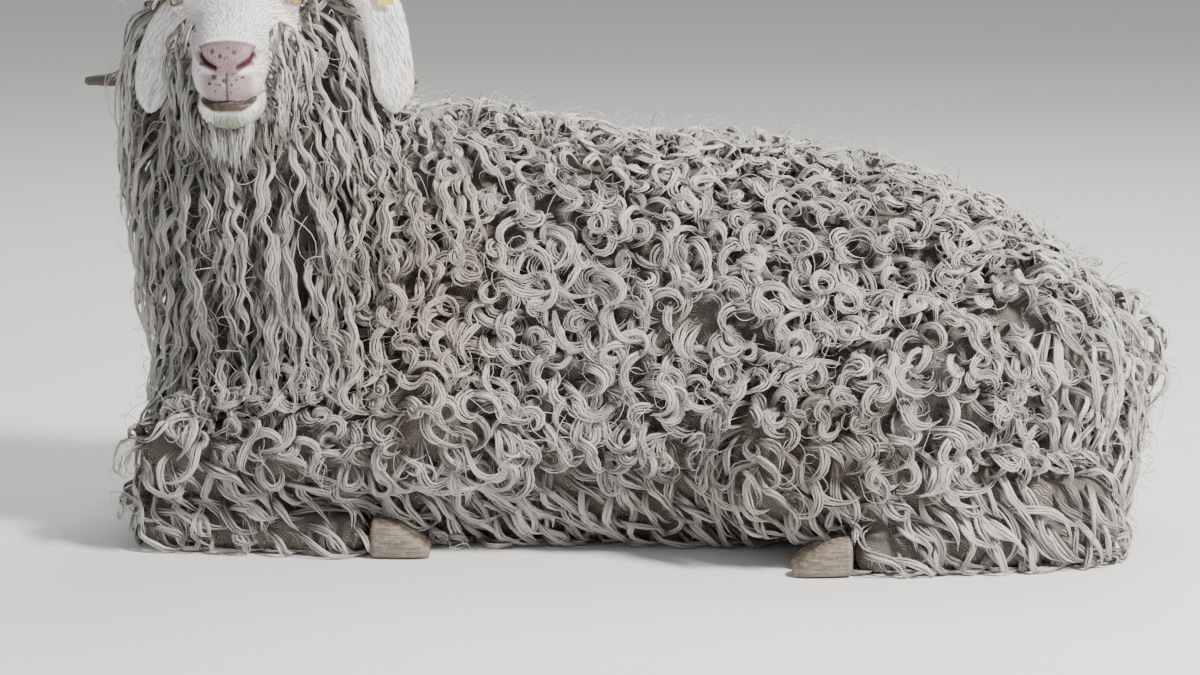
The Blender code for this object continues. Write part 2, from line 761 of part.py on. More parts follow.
def whole_body():
    """The core with its face and its clumps, cut clear of all that is set in it and of the floor."""
    body = core()
    draw = random.Random(SEED)
    pieces = collected("clumps")
    places = root_places(body, draw)
    print("clumps", len(places))
    for root, normal, region in places:
        clump(pieces, root, normal, lie_at(root, normal, region, draw), CLUMPS[region], draw)
    for rows in FORELOCK + BEARD:
        hand_lock(pieces, rows)
    face_pieces(pieces)
    thinned(largest_only(boolean(body, pieces, "UNION")))
    boolean(body, prism("floor", FLOOR_OUTLINE, 2, -FLOOR_DEPTH, 0.0), "DIFFERENCE")
    boolean(body, strand("mouth_groove", mouth_rows(0.0, 1.0, 0.0014), 4, 9), "DIFFERENCE")
    for side in (1, -1):
        slit = [(*in_head(side * x, y, z), r) for x, y, z, r in NOSTRIL]
        boolean(body, strand("nostril", slit, 5, 4), "DIFFERENCE")
        boolean(body, lid_opening("opening", side), "DIFFERENCE")
        boolean(body, grown(ball("socket", eye_centre(side), EYE_RADIUS)), "DIFFERENCE")
        boolean(body, grown(horn("horn_seat", side)), "DIFFERENCE")
        boolean(body, grown(ear("ear_seat", side)), "DIFFERENCE")
        for spot, turn in (FORE_HOOF, HIND_HOOF):
            place = Vector((spot.x, spot.y * side, spot.z))
            boolean(body, grown(hoof("hoof_seat", place, turn)), "DIFFERENCE")
    return body


def eye_axes(side):
    """Out of the eye, towards the nose along the opening, and up along the lids."""
    turn = head_matrix().to_3x3()
    out = (turn @ Vector((side * EYE_OUT.x, -EYE_OUT.y, EYE_OUT.z))).normalized()
    ahead = turn @ Vector((0, -1, LID_SLANT))
    ahead = (ahead - ahead.dot(out) * out).normalized()
    up = out.cross(ahead) * side
    return out, ahead, up


def lid_opening(name, side):
    """The almond between the lids, as a solid that reaches out from the middle of the eye."""
    centre = eye_centre(side)
    out, ahead, up = eye_axes(side)
    rings = []
    for reach in (0.25, 2.0):
        ring = []
        for j in range(12):
            a = 2 * math.pi * j / 12
            wide = LID_HALF.x * math.cos(a)
            tall = LID_HALF.y * math.sin(a) * (1 - 0.25 * abs(math.cos(a)))
            ring.append(centre + ahead * wide + up * tall + out * EYE_RADIUS * reach)
        rings.append(ring)
    return lofted(name, rings)


def mouth_rows(rise, pull, radius):
    """Points along the mouth line from corner to corner, lifted and scaled towards the middle."""
    half = [in_head(x * pull, y, z + rise) for x, y, z in MOUTH]
    other = [in_head(-x * pull, y, z + rise) for x, y, z in reversed(MOUTH[:-1])]
    return [(*p, radius) for p in half + other]


def disc(name, centre, radius, low, high):
    """A round plate across Y, between two depths."""
    outline = []
    for j in range(10):
        a = 2 * math.pi * j / 10
        outline.append((centre.x + radius * math.cos(a), centre.z + radius * math.sin(a)))
    return prism(name, outline, 1, low, high)


def ear_tag(ear_piece):
    """A blank tag: a plate before the ear, a stud through it and a button behind. The ear is cut for it."""
    stud = in_head(TAG_STUD_SPOT.x, 0.0, TAG_STUD_SPOT.y)
    beside = [v.co for v in ear_piece.data.vertices if abs(v.co.x - stud.x) < 0.024 and abs(v.co.z - stud.z) < 0.045]
    front = min(v.y for v in beside) - 0.0012
    back = max(v.y for v in beside) + 0.0012
    wide, thin, tall = TAG_SIZE[0] / 2, TAG_SIZE[1], TAG_SIZE[2] / 2
    plate = in_head(TAG_PLATE_SPOT.x, 0.0, TAG_PLATE_SPOT.y)
    outline = ((-wide, -tall), (wide, -tall), (wide, tall * 0.7), (wide / 2, tall), (-wide / 2, tall), (-wide, tall * 0.7))
    outline = [(plate.x + u, plate.z + v) for u, v in outline]
    boolean(ear_piece, disc("tag_hole", stud, TAG_STUD + GAP, front - 0.01, back + 0.01), "DIFFERENCE")
    tag = prism("ear_tag", outline, 1, front - thin, front)
    boolean(tag, disc("tag_stud", stud, TAG_STUD, front - thin / 2, back + thin / 2), "UNION")
    return boolean(tag, disc("tag_button", stud, TAG_BUTTON, back, back + thin), "UNION")


def main():
    for obj in list(bpy.data.objects):
        bpy.data.objects.remove(obj)
    fleece = material("mohair", (0.62, 0.58, 0.53), 0.85)
    bare = material("short_white_hair", (0.88, 0.86, 0.84), 0.7)
    keratin = material("horn", (0.22, 0.17, 0.12), 0.5)
    wet = material("eye", (0.25, 0.17, 0.06), 0.1)
    plastic = material("tag_plastic", (0.85, 0.68, 0.08), 0.4)

    for side, word in ((1, "left"), (-1, "right")):
        horn(f"horn_{word}", side).data.materials.append(keratin)
        ear(f"ear_{word}", side).data.materials.append(bare)
        ball(f"eye_{word}", eye_centre(side), EYE_RADIUS).data.materials.append(wet)
        for (spot, turn), limb in ((FORE_HOOF, "fore_hoof"), (HIND_HOOF, "hind_hoof")):
            place = Vector((spot.x, spot.y * side, spot.z))
            hoof(f"{limb}_{word}", place, turn).data.materials.append(keratin)
    tag = ear_tag(bpy.data.objects["ear_left"])
    tag.data.materials.append(plastic)

    body = whole_body()
    boolean(body, grown(copy_of(tag, "tag_seat")), "DIFFERENCE")
    pieces = [parted(body, "head", *HEAD_CELL), parted(body, "neck", *NECK_CELL), parted(body, "tail", *TAIL_CELL)]
    for side, word in ((1, "left"), (-1, "right")):
        for cell, limb in ((FORELEG_CELL, "foreleg"), (HINDLEG_CELL, "hindleg")):
            outline, axis, low, high = cell
            low, high = (low, high) if side > 0 else (-high, -low)
            pieces.append(parted(body, f"{limb}_{word}", outline, axis, low, high))
    for piece in [largest_only(body), *pieces]:
        piece.data.materials.clear()
        piece.data.materials.append(fleece)


main()
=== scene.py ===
import math

import bpy
import numpy as np
from mathutils import Matrix, Vector
from mathutils.bvhtree import BVHTree


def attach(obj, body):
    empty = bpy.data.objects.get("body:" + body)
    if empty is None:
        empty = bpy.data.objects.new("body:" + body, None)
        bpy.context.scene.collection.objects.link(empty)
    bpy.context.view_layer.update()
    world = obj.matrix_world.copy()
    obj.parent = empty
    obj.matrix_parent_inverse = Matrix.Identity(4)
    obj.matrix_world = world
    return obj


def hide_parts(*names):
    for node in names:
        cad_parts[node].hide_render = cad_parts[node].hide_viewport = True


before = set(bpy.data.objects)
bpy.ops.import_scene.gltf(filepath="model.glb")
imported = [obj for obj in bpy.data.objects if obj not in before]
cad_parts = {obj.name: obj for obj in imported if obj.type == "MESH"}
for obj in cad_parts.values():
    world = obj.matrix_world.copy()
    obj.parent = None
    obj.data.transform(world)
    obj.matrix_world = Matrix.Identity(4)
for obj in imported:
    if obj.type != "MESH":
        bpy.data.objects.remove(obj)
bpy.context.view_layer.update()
print("stage: the packed goat is loaded")

# shared maths


def readCurve(rows, count):
    # points read evenly along a smooth curve through the rows
    keys = np.asarray(rows, float)
    padded = np.vstack([2 * keys[0] - keys[1], keys, 2 * keys[-1] - keys[-2]])
    out = []
    for s in np.linspace(0, len(keys) - 1, count):
        i = min(int(s), len(keys) - 2)
        t = s - i
        a, b, c, d = padded[i:i + 4]
        out.append(b + 0.5 * t * (c - a + t * (2 * a - 5 * b + 4 * c - d + t * (3 * b - a - 3 * c + d))))
    return np.array(out)


def smoothStep(low, high, value):
    t = np.clip((value - low) / (high - low), 0.0, 1.0)
    return t * t * (3 - 2 * t)


def unit(vectors):
    return vectors / np.maximum(np.linalg.norm(vectors, axis=-1, keepdims=True), 1e-12)


def ovalRing(half, top, bottom, middle, power, sides):
    # a rounded rectangle round the body: across, up
    a = np.linspace(0, 2 * math.pi, sides, endpoint=False)
    c, s = np.cos(a), np.sin(a)
    height = np.where(s > 0, top - middle, middle - bottom)
    across = half * np.sign(c) * np.abs(c) ** (2 / power)
    up = middle + height * np.sign(s) * np.abs(s) ** (2 / power)
    return across, up


def tubeRings(rows, count, sides):
    # a row holds x, y, z, the half width and, where given, the half height
    read = readCurve(rows, count)
    rings = []
    across = None
    for i, row in enumerate(read):
        ahead = Vector(read[min(i + 1, count - 1)][:3] - read[max(i - 1, 0)][:3]).normalized()
        if across is None:
            across = ahead.cross(Vector((0, 0, 1)))
            if across.length < 0.2:
                across = ahead.cross(Vector((0, 1, 0)))
        across = (across - across.dot(ahead) * ahead).normalized()
        up = across.cross(ahead)
        angles = np.linspace(0, 2 * math.pi, sides, endpoint=False)
        ring = row[:3] + np.outer(np.cos(angles) * row[3], across) + np.outer(np.sin(angles) * row[-1], up)
        rings.append(ring)
    return rings


def domed(rings, reach=0.5, steps=4):
    # smaller rings past both ends, so that the form closes round
    out = [np.asarray(r, float) for r in rings]
    for end in (0, -1):
        edge = out[end]
        beside = out[end + 1] if end == 0 else out[end - 1]
        centre = edge.mean(axis=0)
        ahead = unit(centre - beside.mean(axis=0))
        radius = np.linalg.norm(edge - centre, axis=1).mean()
        caps = []
        for k in range(1, steps + 1):
            a = k / (steps + 1) * math.pi / 2
            caps.append(centre + (edge - centre) * math.cos(a) + ahead * radius * reach * math.sin(a))
        out = caps[::-1] + out if end == 0 else out + caps
    return out


def facingOut(corners, faces):
    # turns the faces of a closed form outwards
    volume = sum(
        np.dot(corners[f[0]], np.cross(corners[b], corners[c])) for f in faces for b, c in zip(f[1:-1], f[2:])
    )
    return faces if volume > 0 else [f[::-1] for f in faces]


def loftShell(rings):
    # corners and faces of a closed form with a point at each end
    sides = len(rings[0])
    corners = np.vstack([np.vstack(rings), rings[0].mean(axis=0), rings[-1].mean(axis=0)])
    faces = []
    for i in range(len(rings) - 1):
        for j in range(sides):
            k = (j + 1) % sides
            faces.append((i * sides + j, i * sides + k, (i + 1) * sides + k, (i + 1) * sides + j))
    last = (len(rings) - 1) * sides
    for j in range(sides):
        k = (j + 1) % sides
        faces.append((k, j, len(corners) - 2))
        faces.append((last + j, last + k, len(corners) - 1))
    return corners, facingOut(corners, faces)


def addObject(name, mesh):
    piece = bpy.data.objects.new(name, mesh)
    bpy.context.scene.collection.objects.link(piece)
    return piece


def makePiece(name, shells):
    corners, faces, shift = [], [], 0
    for points, polygons in shells:
        corners.append(points)
        faces += [tuple(v + shift for v in f) for f in polygons]
        shift += len(points)
    mesh = bpy.data.meshes.new(name)
    mesh.from_pydata(np.vstack(corners).tolist(), [], faces)
    return addObject(name, mesh)


def bakeModifiers(piece):
    graph = bpy.context.evaluated_depsgraph_get()
    mesh = bpy.data.meshes.new_from_object(piece.evaluated_get(graph))
    piece.modifiers.clear()
    piece.data = mesh
    return piece


def fuse(name, shells, voxel, rounds):
    # one smooth surface round all the shells
    piece = makePiece(name, shells)
    remesh = piece.modifiers.new("remesh", "REMESH")
    remesh.mode = "VOXEL"
    remesh.voxel_size = voxel
    relax = piece.modifiers.new("relax", "SMOOTH")
    relax.iterations = rounds
    return bakeModifiers(piece)


def pointsOf(mesh, kind="co"):
    out = np.empty(len(mesh.vertices) * 3)
    mesh.vertices.foreach_get(kind, out)
    return out.reshape(-1, 3)


def normalsOf(mesh):
    return pointsOf(mesh, "normal")


def setPoints(mesh, points):
    mesh.vertices.foreach_set("co", points.ravel())
    mesh.update()


def addMask(mesh, name, values):
    layer = mesh.attributes.new(name, "FLOAT", "POINT")
    layer.data.foreach_set("value", np.asarray(values, np.float32))


def finishPiece(piece, material, nodes, smooth=True):
    piece.data.materials.clear()
    piece.data.materials.append(material)
    if smooth:
        piece.data.polygons.foreach_set("use_smooth", np.ones(len(piece.data.polygons), bool))
    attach(piece, "root")
    if nodes:
        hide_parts(*nodes)


# the camera stands at the photograph's height and distance

cameraView = {"target": (-0.043, 0.0, 0.176), "distance": 3.2, "elevation": 10.0, "lens": 100.8}

tilt = math.radians(cameraView["elevation"])
lensData = bpy.data.cameras.new("goatCamera")
camera = addObject("goatCamera", lensData)
back = Vector((0, -math.cos(tilt), math.sin(tilt))) * cameraView["distance"]
camera.location = Vector(cameraView["target"]) + back
camera.rotation_euler = (math.radians(90) - tilt, 0, 0)
lensData.sensor_width = 36
lensData.lens = cameraView["lens"]
bpy.context.scene.camera = camera

# materials


class Wire:
    # one output socket: sums and products on it add Math nodes
    def __init__(self, recipe, socket):
        self.recipe = recipe
        self.socket = socket

    def maths(self, operation, first, second):
        return self.recipe.node("ShaderNodeMath", {"operation": operation}, {0: first, 1: second})

    def __add__(self, other):
        return self.maths("ADD", self, other)

    __radd__ = __add__

    def __sub__(self, other):
        return self.maths("SUBTRACT", self, other)

    def __rsub__(self, other):
        return self.maths("SUBTRACT", other, self)

    def __mul__(self, other):
        return self.maths("MULTIPLY", self, other)

    __rmul__ = __mul__

    def __truediv__(self, other):
        return self.maths("DIVIDE", self, other)

    def __pow__(self, other):
        return self.maths("POWER", self, other)


class Recipe:
    def __init__(self, name):
        self.material = bpy.data.materials.new(name)
        self.material.use_nodes = True
        self.tree = self.material.node_tree
        self.tree.nodes.clear()

    def node(self, kind, settings=None, sockets=None, output=0):
        made = self.tree.nodes.new(kind)
        for key, value in (settings or {}).items():
            if key == "stops":
                ramp = made.color_ramp
                while len(ramp.elements) < len(value):
                    ramp.elements.new(0.5)
                for element, (place, shade) in zip(ramp.elements, value):
                    element.position = place
                    element.color = (shade, shade, shade, 1) if isinstance(shade, float) else (*shade, 1)
            else:
                setattr(made, key, value)
        for key, value in (sockets or {}).items():
            if isinstance(value, Wire):
                self.tree.links.new(value.socket, made.inputs[key])
            elif isinstance(value, tuple) and len(value) == 3 and made.inputs[key].type == "RGBA":
                made.inputs[key].default_value = (*value, 1)
            else:
                made.inputs[key].default_value = value
        return Wire(self, made.outputs[output]) if made.outputs else None

    def place(self):
        return self.node("ShaderNodeTexCoord", output="Object")

    def mask(self, name):
        return self.node("ShaderNodeAttribute", {"attribute_name": name}, output="Fac")

    def blend(self, factor, first, second, way="MIX"):
        settings = {"data_type": "RGBA", "blend_type": way, "clamp_factor": True}
        return self.node("ShaderNodeMix", settings, {0: factor, 6: first, 7: second}, output=2)

    def noise(self, vector, scale, detail=2.0, rough=0.5):
        return self.node(
            "ShaderNodeTexNoise", {}, {"Vector": vector, "Scale": scale, "Detail": detail, "Roughness": rough}
        )

    def between(self, value, low, high, first=0.0, second=1.0):
        settings = {"interpolation_type": "SMOOTHSTEP", "clamp": True}
        return self.node("ShaderNodeMapRange", settings, {0: value, 1: low, 2: high, 3: first, 4: second})

    def stretch(self, vector, scale):
        return self.node("ShaderNodeMapping", {"vector_type": "POINT"}, {"Vector": vector, "Scale": scale})

    def tones(self, value, low, high, first, second):
        # the first colour where the value is low, the second where it is high
        return self.blend(self.between(value, low, high), first, second)

    def vectors(self, operation, first, second, output="Value"):
        return self.node("ShaderNodeVectorMath", {"operation": operation}, {0: first, 1: second}, output)

    def ball(self, vector, centre, inner, outer):
        # 1 inside a ball, falling to 0 outside it
        return self.between(self.vectors("DISTANCE", vector, centre), inner, outer, 1.0, 0.0)

    def along(self, vector, origin, axes):
        # how far a place lies from the origin along each axis
        local = self.vectors("SUBTRACT", vector, tuple(origin), "Vector")
        return [self.vectors("DOT_PRODUCT", local, tuple(axis)) for axis in axes]

    def cells(self, vector, scale):
        return self.node("ShaderNodeTexVoronoi", {"feature": "F1"}, {"Vector": vector, "Scale": scale})

    def bump(self, height, strength, distance, normal=None):
        sockets = {"Height": height, "Strength": strength, "Distance": distance}
        if normal:
            sockets["Normal"] = normal
        return self.node("ShaderNodeBump", {}, sockets)

    def surface(self, sockets):
        shader = self.node("ShaderNodeBsdfPrincipled", {}, sockets)
        self.node("ShaderNodeOutputMaterial", {}, {0: shader})
        return self.material


# the fleece's stains and painted shade: share and colour, then for each place its centre, inner and outer
# reach and weight
stainsAndShade = {
    "cream": (0.75, (0.82, 0.715, 0.575), (
        ((-0.205, -0.165, 0.285), 0.030, 0.130, 1.0),
        ((-0.215, -0.170, 0.180), 0.020, 0.110, 0.8),
    )),
    # dust and painted shade: browner and darker low on the near flank, in the stifle's fold and under it
    "dustAndShade": (0.60, (0.40, 0.345, 0.26), (
        ((0.165, -0.230, 0.120), 0.020, 0.085, 1.0),
        ((0.080, -0.200, 0.060), 0.030, 0.140, 0.6),
    )),
    "whiteRump": (0.85, (0.92, 0.895, 0.865), (((0.360, -0.150, 0.160), 0.060, 0.190, 1.0),)),
    # painted shade: the neck under the head is greyer and darker
    "neckShade": (0.60, (0.50, 0.50, 0.44), (((-0.375, -0.170, 0.290), 0.060, 0.230, 1.0),)),
}
fairHair = (0.90, 0.885, 0.865)


def fleeceColour(recipe, place, fair):
    # the same stains and painted shade serve the skin under the wool and every lock
    colour = recipe.tones(recipe.noise(place, 9.0, 3.0), 0.32, 0.60, (0.76, 0.735, 0.70), fair)
    for share, markColour, places in stainsAndShade.values():
        cover = sum(recipe.ball(place, *ball) * weight for *ball, weight in places)
        colour = recipe.blend(cover * share, colour, markColour)
    return colour


def mohairMaterial():
    recipe = Recipe("mohairLocks")
    place = recipe.place()
    along = recipe.mask("along")
    tone = recipe.mask("tone")
    colour = fleeceColour(recipe, place, (0.94, 0.905, 0.85))
    # painted shade, with some dust: each strand darkens towards its root
    rootDustAndShade = recipe.blend(1.0, colour, (0.21, 0.19, 0.16), "MULTIPLY")
    colour = recipe.blend(recipe.between(along, 0.0, 0.45, 0.10, 1.0), rootDustAndShade, colour)
    # painted shade, mixed with random tone: locks that lie lower on the skin are greyer and darker
    greyedAndShaded = recipe.blend(1.0, colour, (0.26, 0.255, 0.245), "MULTIPLY")
    colour = recipe.blend(recipe.between(tone, 0.10, 0.80), greyedAndShaded, colour)
    strandMap = recipe.node("ShaderNodeUVMap", {"uv_map": "strand"})
    streak = recipe.noise(recipe.stretch(strandMap, (9.0, 0.7, 1.0)), 3.0, 2.0, 0.6)
    colour = recipe.blend(recipe.between(streak, 0.38, 0.62, 0.55, 0.0), colour, (0.26, 0.24, 0.22))
    # the chin's middle is green: partly a grass stain, partly a painted reflection of light from the grass
    chin = recipe.ball(place, tuple(fromHead(*muzzle["chin"])), 0.009, 0.023)
    fair = recipe.blend(chin * 0.80, fairHair, (0.17, 0.185, 0.105))
    colour = recipe.blend(recipe.mask("fair"), colour, fair)
    return recipe.surface({
        "Base Color": colour,
        "Roughness": recipe.between(streak, 0.3, 0.7, 0.50, 0.38),
        "Specular IOR Level": 0.50,
        "Sheen Weight": 0.15,
        "Sheen Roughness": 0.40,
        "Normal": recipe.bump(streak, 0.9, 0.0009),
    })


def muzzleSpots(recipe, place):
    # the larger grey spots, with a ragged edge, where the muzzle faces forward
    aside, above = recipe.along(place, headForm["nose"], (headTurn[:, 0], headTurn[:, 2]))
    front = recipe.node("ShaderNodeCombineXYZ", {}, {0: aside, 1: above})
    ragged = (recipe.noise(place, 230.0, 2.0) - 0.5) * 0.0022
    marks = 0
    for across, up, size in muzzle["spots"]:
        away = recipe.vectors("DISTANCE", front, (across, up, 0)) + ragged
        marks += recipe.between(away, size * 0.95, size * 1.55, 1.0, 0.0)
    return marks * recipe.ball(place, headForm["nose"], 0.045, 0.055)


def skinMaterial():
    recipe = Recipe("shortHairAndSkin")
    place = recipe.place()
    masks = ("wool", "nose", "lip", "slit", "rim", "chin", "mouth", "flush", "padEdge")
    wool, nose, lip, slit, rim, chin, mouth, flush, padEdge = (recipe.mask(name) for name in masks)
    fibres = recipe.node("ShaderNodeTexWave", {"bands_direction": "DIAGONAL"}, {
        "Vector": place, "Scale": 230.0, "Distortion": 60.0, "Detail": 3.0, "Detail Scale": 0.13,
    }, output="Fac")
    # painted shade: the skin under the locks is dark wool, as if in the locks' shadow
    shadedUnderWool = recipe.tones(fibres, 0.15, 0.85, (0.15, 0.135, 0.118), (0.33, 0.31, 0.28))
    under = recipe.blend(1.0, fleeceColour(recipe, place, (0.86, 0.835, 0.80)), shadedUnderWool, "MULTIPLY")
    hairs = recipe.noise(recipe.stretch(place, (260.0, 60.0, 150.0)), 3.0, 3.0, 0.6)
    blotch = recipe.noise(place, 26.0, 2.0)
    face = recipe.tones(blotch, 0.40, 0.66, fairHair, (0.80, 0.765, 0.735))
    face = recipe.blend(recipe.between(hairs, 0.34, 0.60, 0.18, 0.0), face, (0.62, 0.56, 0.52))
    # the chin's middle is green: partly a grass stain, partly a painted reflection of light from the grass
    face = recipe.blend(chin * 0.85, face, (0.19, 0.21, 0.12))
    face = recipe.blend(rim, face, (0.20, 0.145, 0.135))
    pebbles = recipe.cells(place, 520.0)
    spots = recipe.noise(place, 210.0, 1.0)
    clusters = recipe.between(recipe.noise(place, 75.0, 1.0), 0.44, 0.52)
    dots = recipe.between(recipe.cells(place, 190.0) + spots * 0.3, 0.33, 0.44, 1.0, 0.0) * clusters
    pink = recipe.tones(blotch, 0.38, 0.62, (0.235, 0.160, 0.175), (0.335, 0.235, 0.25))
    pink = recipe.blend(padEdge * 0.75, pink, (0.125, 0.100, 0.112))
    pink = recipe.blend(dots * 0.85, pink, (0.12, 0.095, 0.105))
    # the lower lip's own dark colour, darkened further as painted shade under the muzzle
    lipToneAndShade = recipe.tones(spots, 0.40, 0.62, (0.080, 0.053, 0.038), (0.045, 0.032, 0.024))
    face = recipe.blend(nose, face, pink)
    face = recipe.blend(muzzleSpots(recipe, place) * 0.92, face, (0.060, 0.048, 0.055))
    # dark red round the nostrils: partly the skin's own flush, partly painted shade leading into them
    face = recipe.blend(flush * 0.75, face, (0.15, 0.045, 0.042))
    face = recipe.blend(lip, face, lipToneAndShade)
    # painted shade in the mouth's crease and in the groove under the nose
    face = recipe.blend(mouth, face, (0.030, 0.022, 0.015))
    # painted shade inside the nostrils, tinged dark red
    face = recipe.blend(slit, face, (0.060, 0.014, 0.016))
    colour = recipe.blend(wool, face, under)
    bare = nose * 0.9 + lip * 0.6
    relief = recipe.bump(hairs, 0.35, 0.0008)
    relief = recipe.bump(fibres * wool, 0.8, 0.0020, relief)
    relief = recipe.bump(pebbles * nose, 0.5, 0.0010, relief)
    return recipe.surface({
        "Base Color": colour,
        "Roughness": recipe.between(bare, 0.0, 1.0, 0.72, 0.38),
        "Specular IOR Level": 0.35,
        "Normal": relief,
    })


def earMaterial():
    recipe = Recipe("earHair")
    place = recipe.place()
    hollow = recipe.mask("hollow")
    foldShadeMask = recipe.mask("streak")
    hairs = recipe.noise(recipe.stretch(place, (220.0, 220.0, 30.0)), 3.0, 3.0, 0.6)
    darker = recipe.between(hairs, 0.35, 0.62, 0.30, 0.0)
    colour = recipe.blend(darker, (0.90, 0.885, 0.875), (0.66, 0.62, 0.61))
    grey = recipe.between(recipe.noise(recipe.stretch(place, (90.0, 90.0, 22.0)), 2.0, 3.0), 0.42, 0.62)
    # painted shade: a grey line down the outer side of the ear, where it folds
    colour = recipe.blend(foldShadeMask * grey * 0.75, colour, (0.43, 0.415, 0.44))
    colour = recipe.blend(hollow * 0.65, colour, (0.70, 0.49, 0.45))
    return recipe.surface({
        "Base Color": colour,
        "Roughness": 0.70,
        "Sheen Weight": 0.15,
        "Normal": recipe.bump(hairs, 0.4, 0.0008),
    })


def hornMaterial(name, tipColour):
    recipe = Recipe(name)
    place = recipe.place()
    grain = recipe.noise(recipe.stretch(place, (130.0, 130.0, 130.0)), 2.0, 4.0, 0.65)
    patches = recipe.noise(place, 22.0, 3.0)
    colour = recipe.tones(patches, 0.36, 0.66, (0.085, 0.068, 0.056), (0.155, 0.122, 0.094))
    colour = recipe.tones(recipe.mask("along"), 0.76, 1.0, colour, tipColour)
    colour = recipe.blend(recipe.mask("ridge") * 0.60, colour, (0.048, 0.038, 0.031))
    colour = recipe.blend(recipe.between(grain, 0.42, 0.66, 0.0, 0.35), colour, (0.25, 0.215, 0.175))
    return recipe.surface({
        "Base Color": colour,
        "Roughness": recipe.between(grain, 0.3, 0.7, 0.42, 0.66),
        "Normal": recipe.bump(grain, 0.45, 0.0010),
    })


def hoofMaterial():
    recipe = Recipe("hoofHorn")
    place = recipe.place()
    bands = recipe.noise(recipe.stretch(place, (40.0, 40.0, 420.0)), 1.5, 3.0)
    grain = recipe.noise(place, 260.0, 3.0)
    colour = recipe.tones(bands, 0.38, 0.64, (0.125, 0.10, 0.08), (0.24, 0.195, 0.15))
    colour = recipe.blend(recipe.between(grain, 0.52, 0.70, 0.0, 0.5), colour, (0.34, 0.295, 0.235))
    return recipe.surface({
        "Base Color": colour,
        "Roughness": recipe.between(bands, 0.3, 0.7, 0.5, 0.72),
        "Normal": recipe.bump(bands + grain * 0.4, 0.5, 0.0012),
    })


def tagMaterial():
    recipe = Recipe("tagPlastic")
    place = recipe.place()
    scuff = recipe.noise(recipe.stretch(place, (60.0, 60.0, 320.0)), 2.0, 4.0, 0.7)
    colour = recipe.tones(recipe.noise(place, 60.0, 2.0), 0.35, 0.66, (0.80, 0.60, 0.045), (0.86, 0.69, 0.10))
    colour = recipe.blend(recipe.between(scuff, 0.56, 0.70, 0.0, 0.6), colour, (0.55, 0.44, 0.14))
    return recipe.surface({
        "Base Color": colour,
        "Roughness": recipe.between(scuff, 0.3, 0.7, 0.34, 0.55),
        "Normal": recipe.bump(scuff, 0.2, 0.0004),
    })


def floorMaterial():
    recipe = Recipe("paleFloor")
    cloud = recipe.noise(recipe.place(), 1.6, 2.0)
    colour = recipe.blend(cloud, (0.83, 0.825, 0.81), (0.85, 0.845, 0.835))
    return recipe.surface({"Base Color": colour, "Roughness": 0.85})


# the goat's forms, from the same named sizes as the solids

bodyForm = {
    "coreDepth": 0.024,
    "legCoreDepth": 0.016,
    "tailCoreDepth": 0.010,
    "voxel": 0.0055,
    "clearOfFloor": 0.0012,
    "power": 2.2,
    # x, top, height of the widest line, half width, bottom
    "trunk": (
        (-0.452, 0.175, 0.105, 0.070, 0.030), (-0.425, 0.240, 0.115, 0.115, -0.030),
        (-0.350, 0.320, 0.130, 0.152, -0.046), (-0.260, 0.385, 0.140, 0.172, -0.048),
        (-0.180, 0.400, 0.145, 0.180, -0.048), (-0.080, 0.386, 0.145, 0.188, -0.048),
        (0.000, 0.373, 0.140, 0.194, -0.048), (0.080, 0.371, 0.138, 0.196, -0.048),
        (0.160, 0.359, 0.136, 0.196, -0.048), (0.240, 0.345, 0.132, 0.196, -0.048),
        (0.320, 0.314, 0.126, 0.188, -0.048), (0.380, 0.280, 0.118, 0.168, -0.046),
        (0.430, 0.236, 0.108, 0.135, -0.038), (0.456, 0.190, 0.098, 0.090, 0.010),
    ),
    # centre x, y, z, then the half widths along x and y
    "neck": (
        (-0.300, 0.000, 0.120, 0.150, 0.130), (-0.332, -0.005, 0.240, 0.143, 0.145),
        (-0.352, -0.008, 0.340, 0.135, 0.140), (-0.364, -0.004, 0.430, 0.127, 0.124),
        (-0.367, 0.006, 0.500, 0.112, 0.104), (-0.368, 0.016, 0.548, 0.080, 0.074),
    ),
    "foreleg": (
        ((-0.180, -0.115, 0.135, 0.085), (-0.320, -0.120, 0.100, 0.062), (-0.440, -0.108, 0.078, 0.052)),
        ((-0.445, -0.108, 0.025, 0.043), (-0.360, -0.125, 0.020, 0.039), (-0.270, -0.140, 0.017, 0.036)),
    ),
    "hindleg": (
        ((0.330, -0.095, 0.165, 0.115), (0.230, -0.140, 0.140, 0.098), (0.120, -0.165, 0.105, 0.078)),
        ((0.110, -0.170, 0.080, 0.062), (0.260, -0.185, 0.068, 0.052), (0.400, -0.165, 0.048, 0.046)),
        ((0.405, -0.170, 0.026, 0.043), (0.300, -0.200, 0.020, 0.039), (0.200, -0.212, 0.017, 0.036)),
    ),
    "tail": (
        (0.425, 0.000, 0.215, 0.040, 0.030), (0.455, 0.002, 0.185, 0.036, 0.022),
        (0.468, 0.004, 0.145, 0.030, 0.018), (0.472, 0.006, 0.105, 0.018, 0.012),
    ),
}

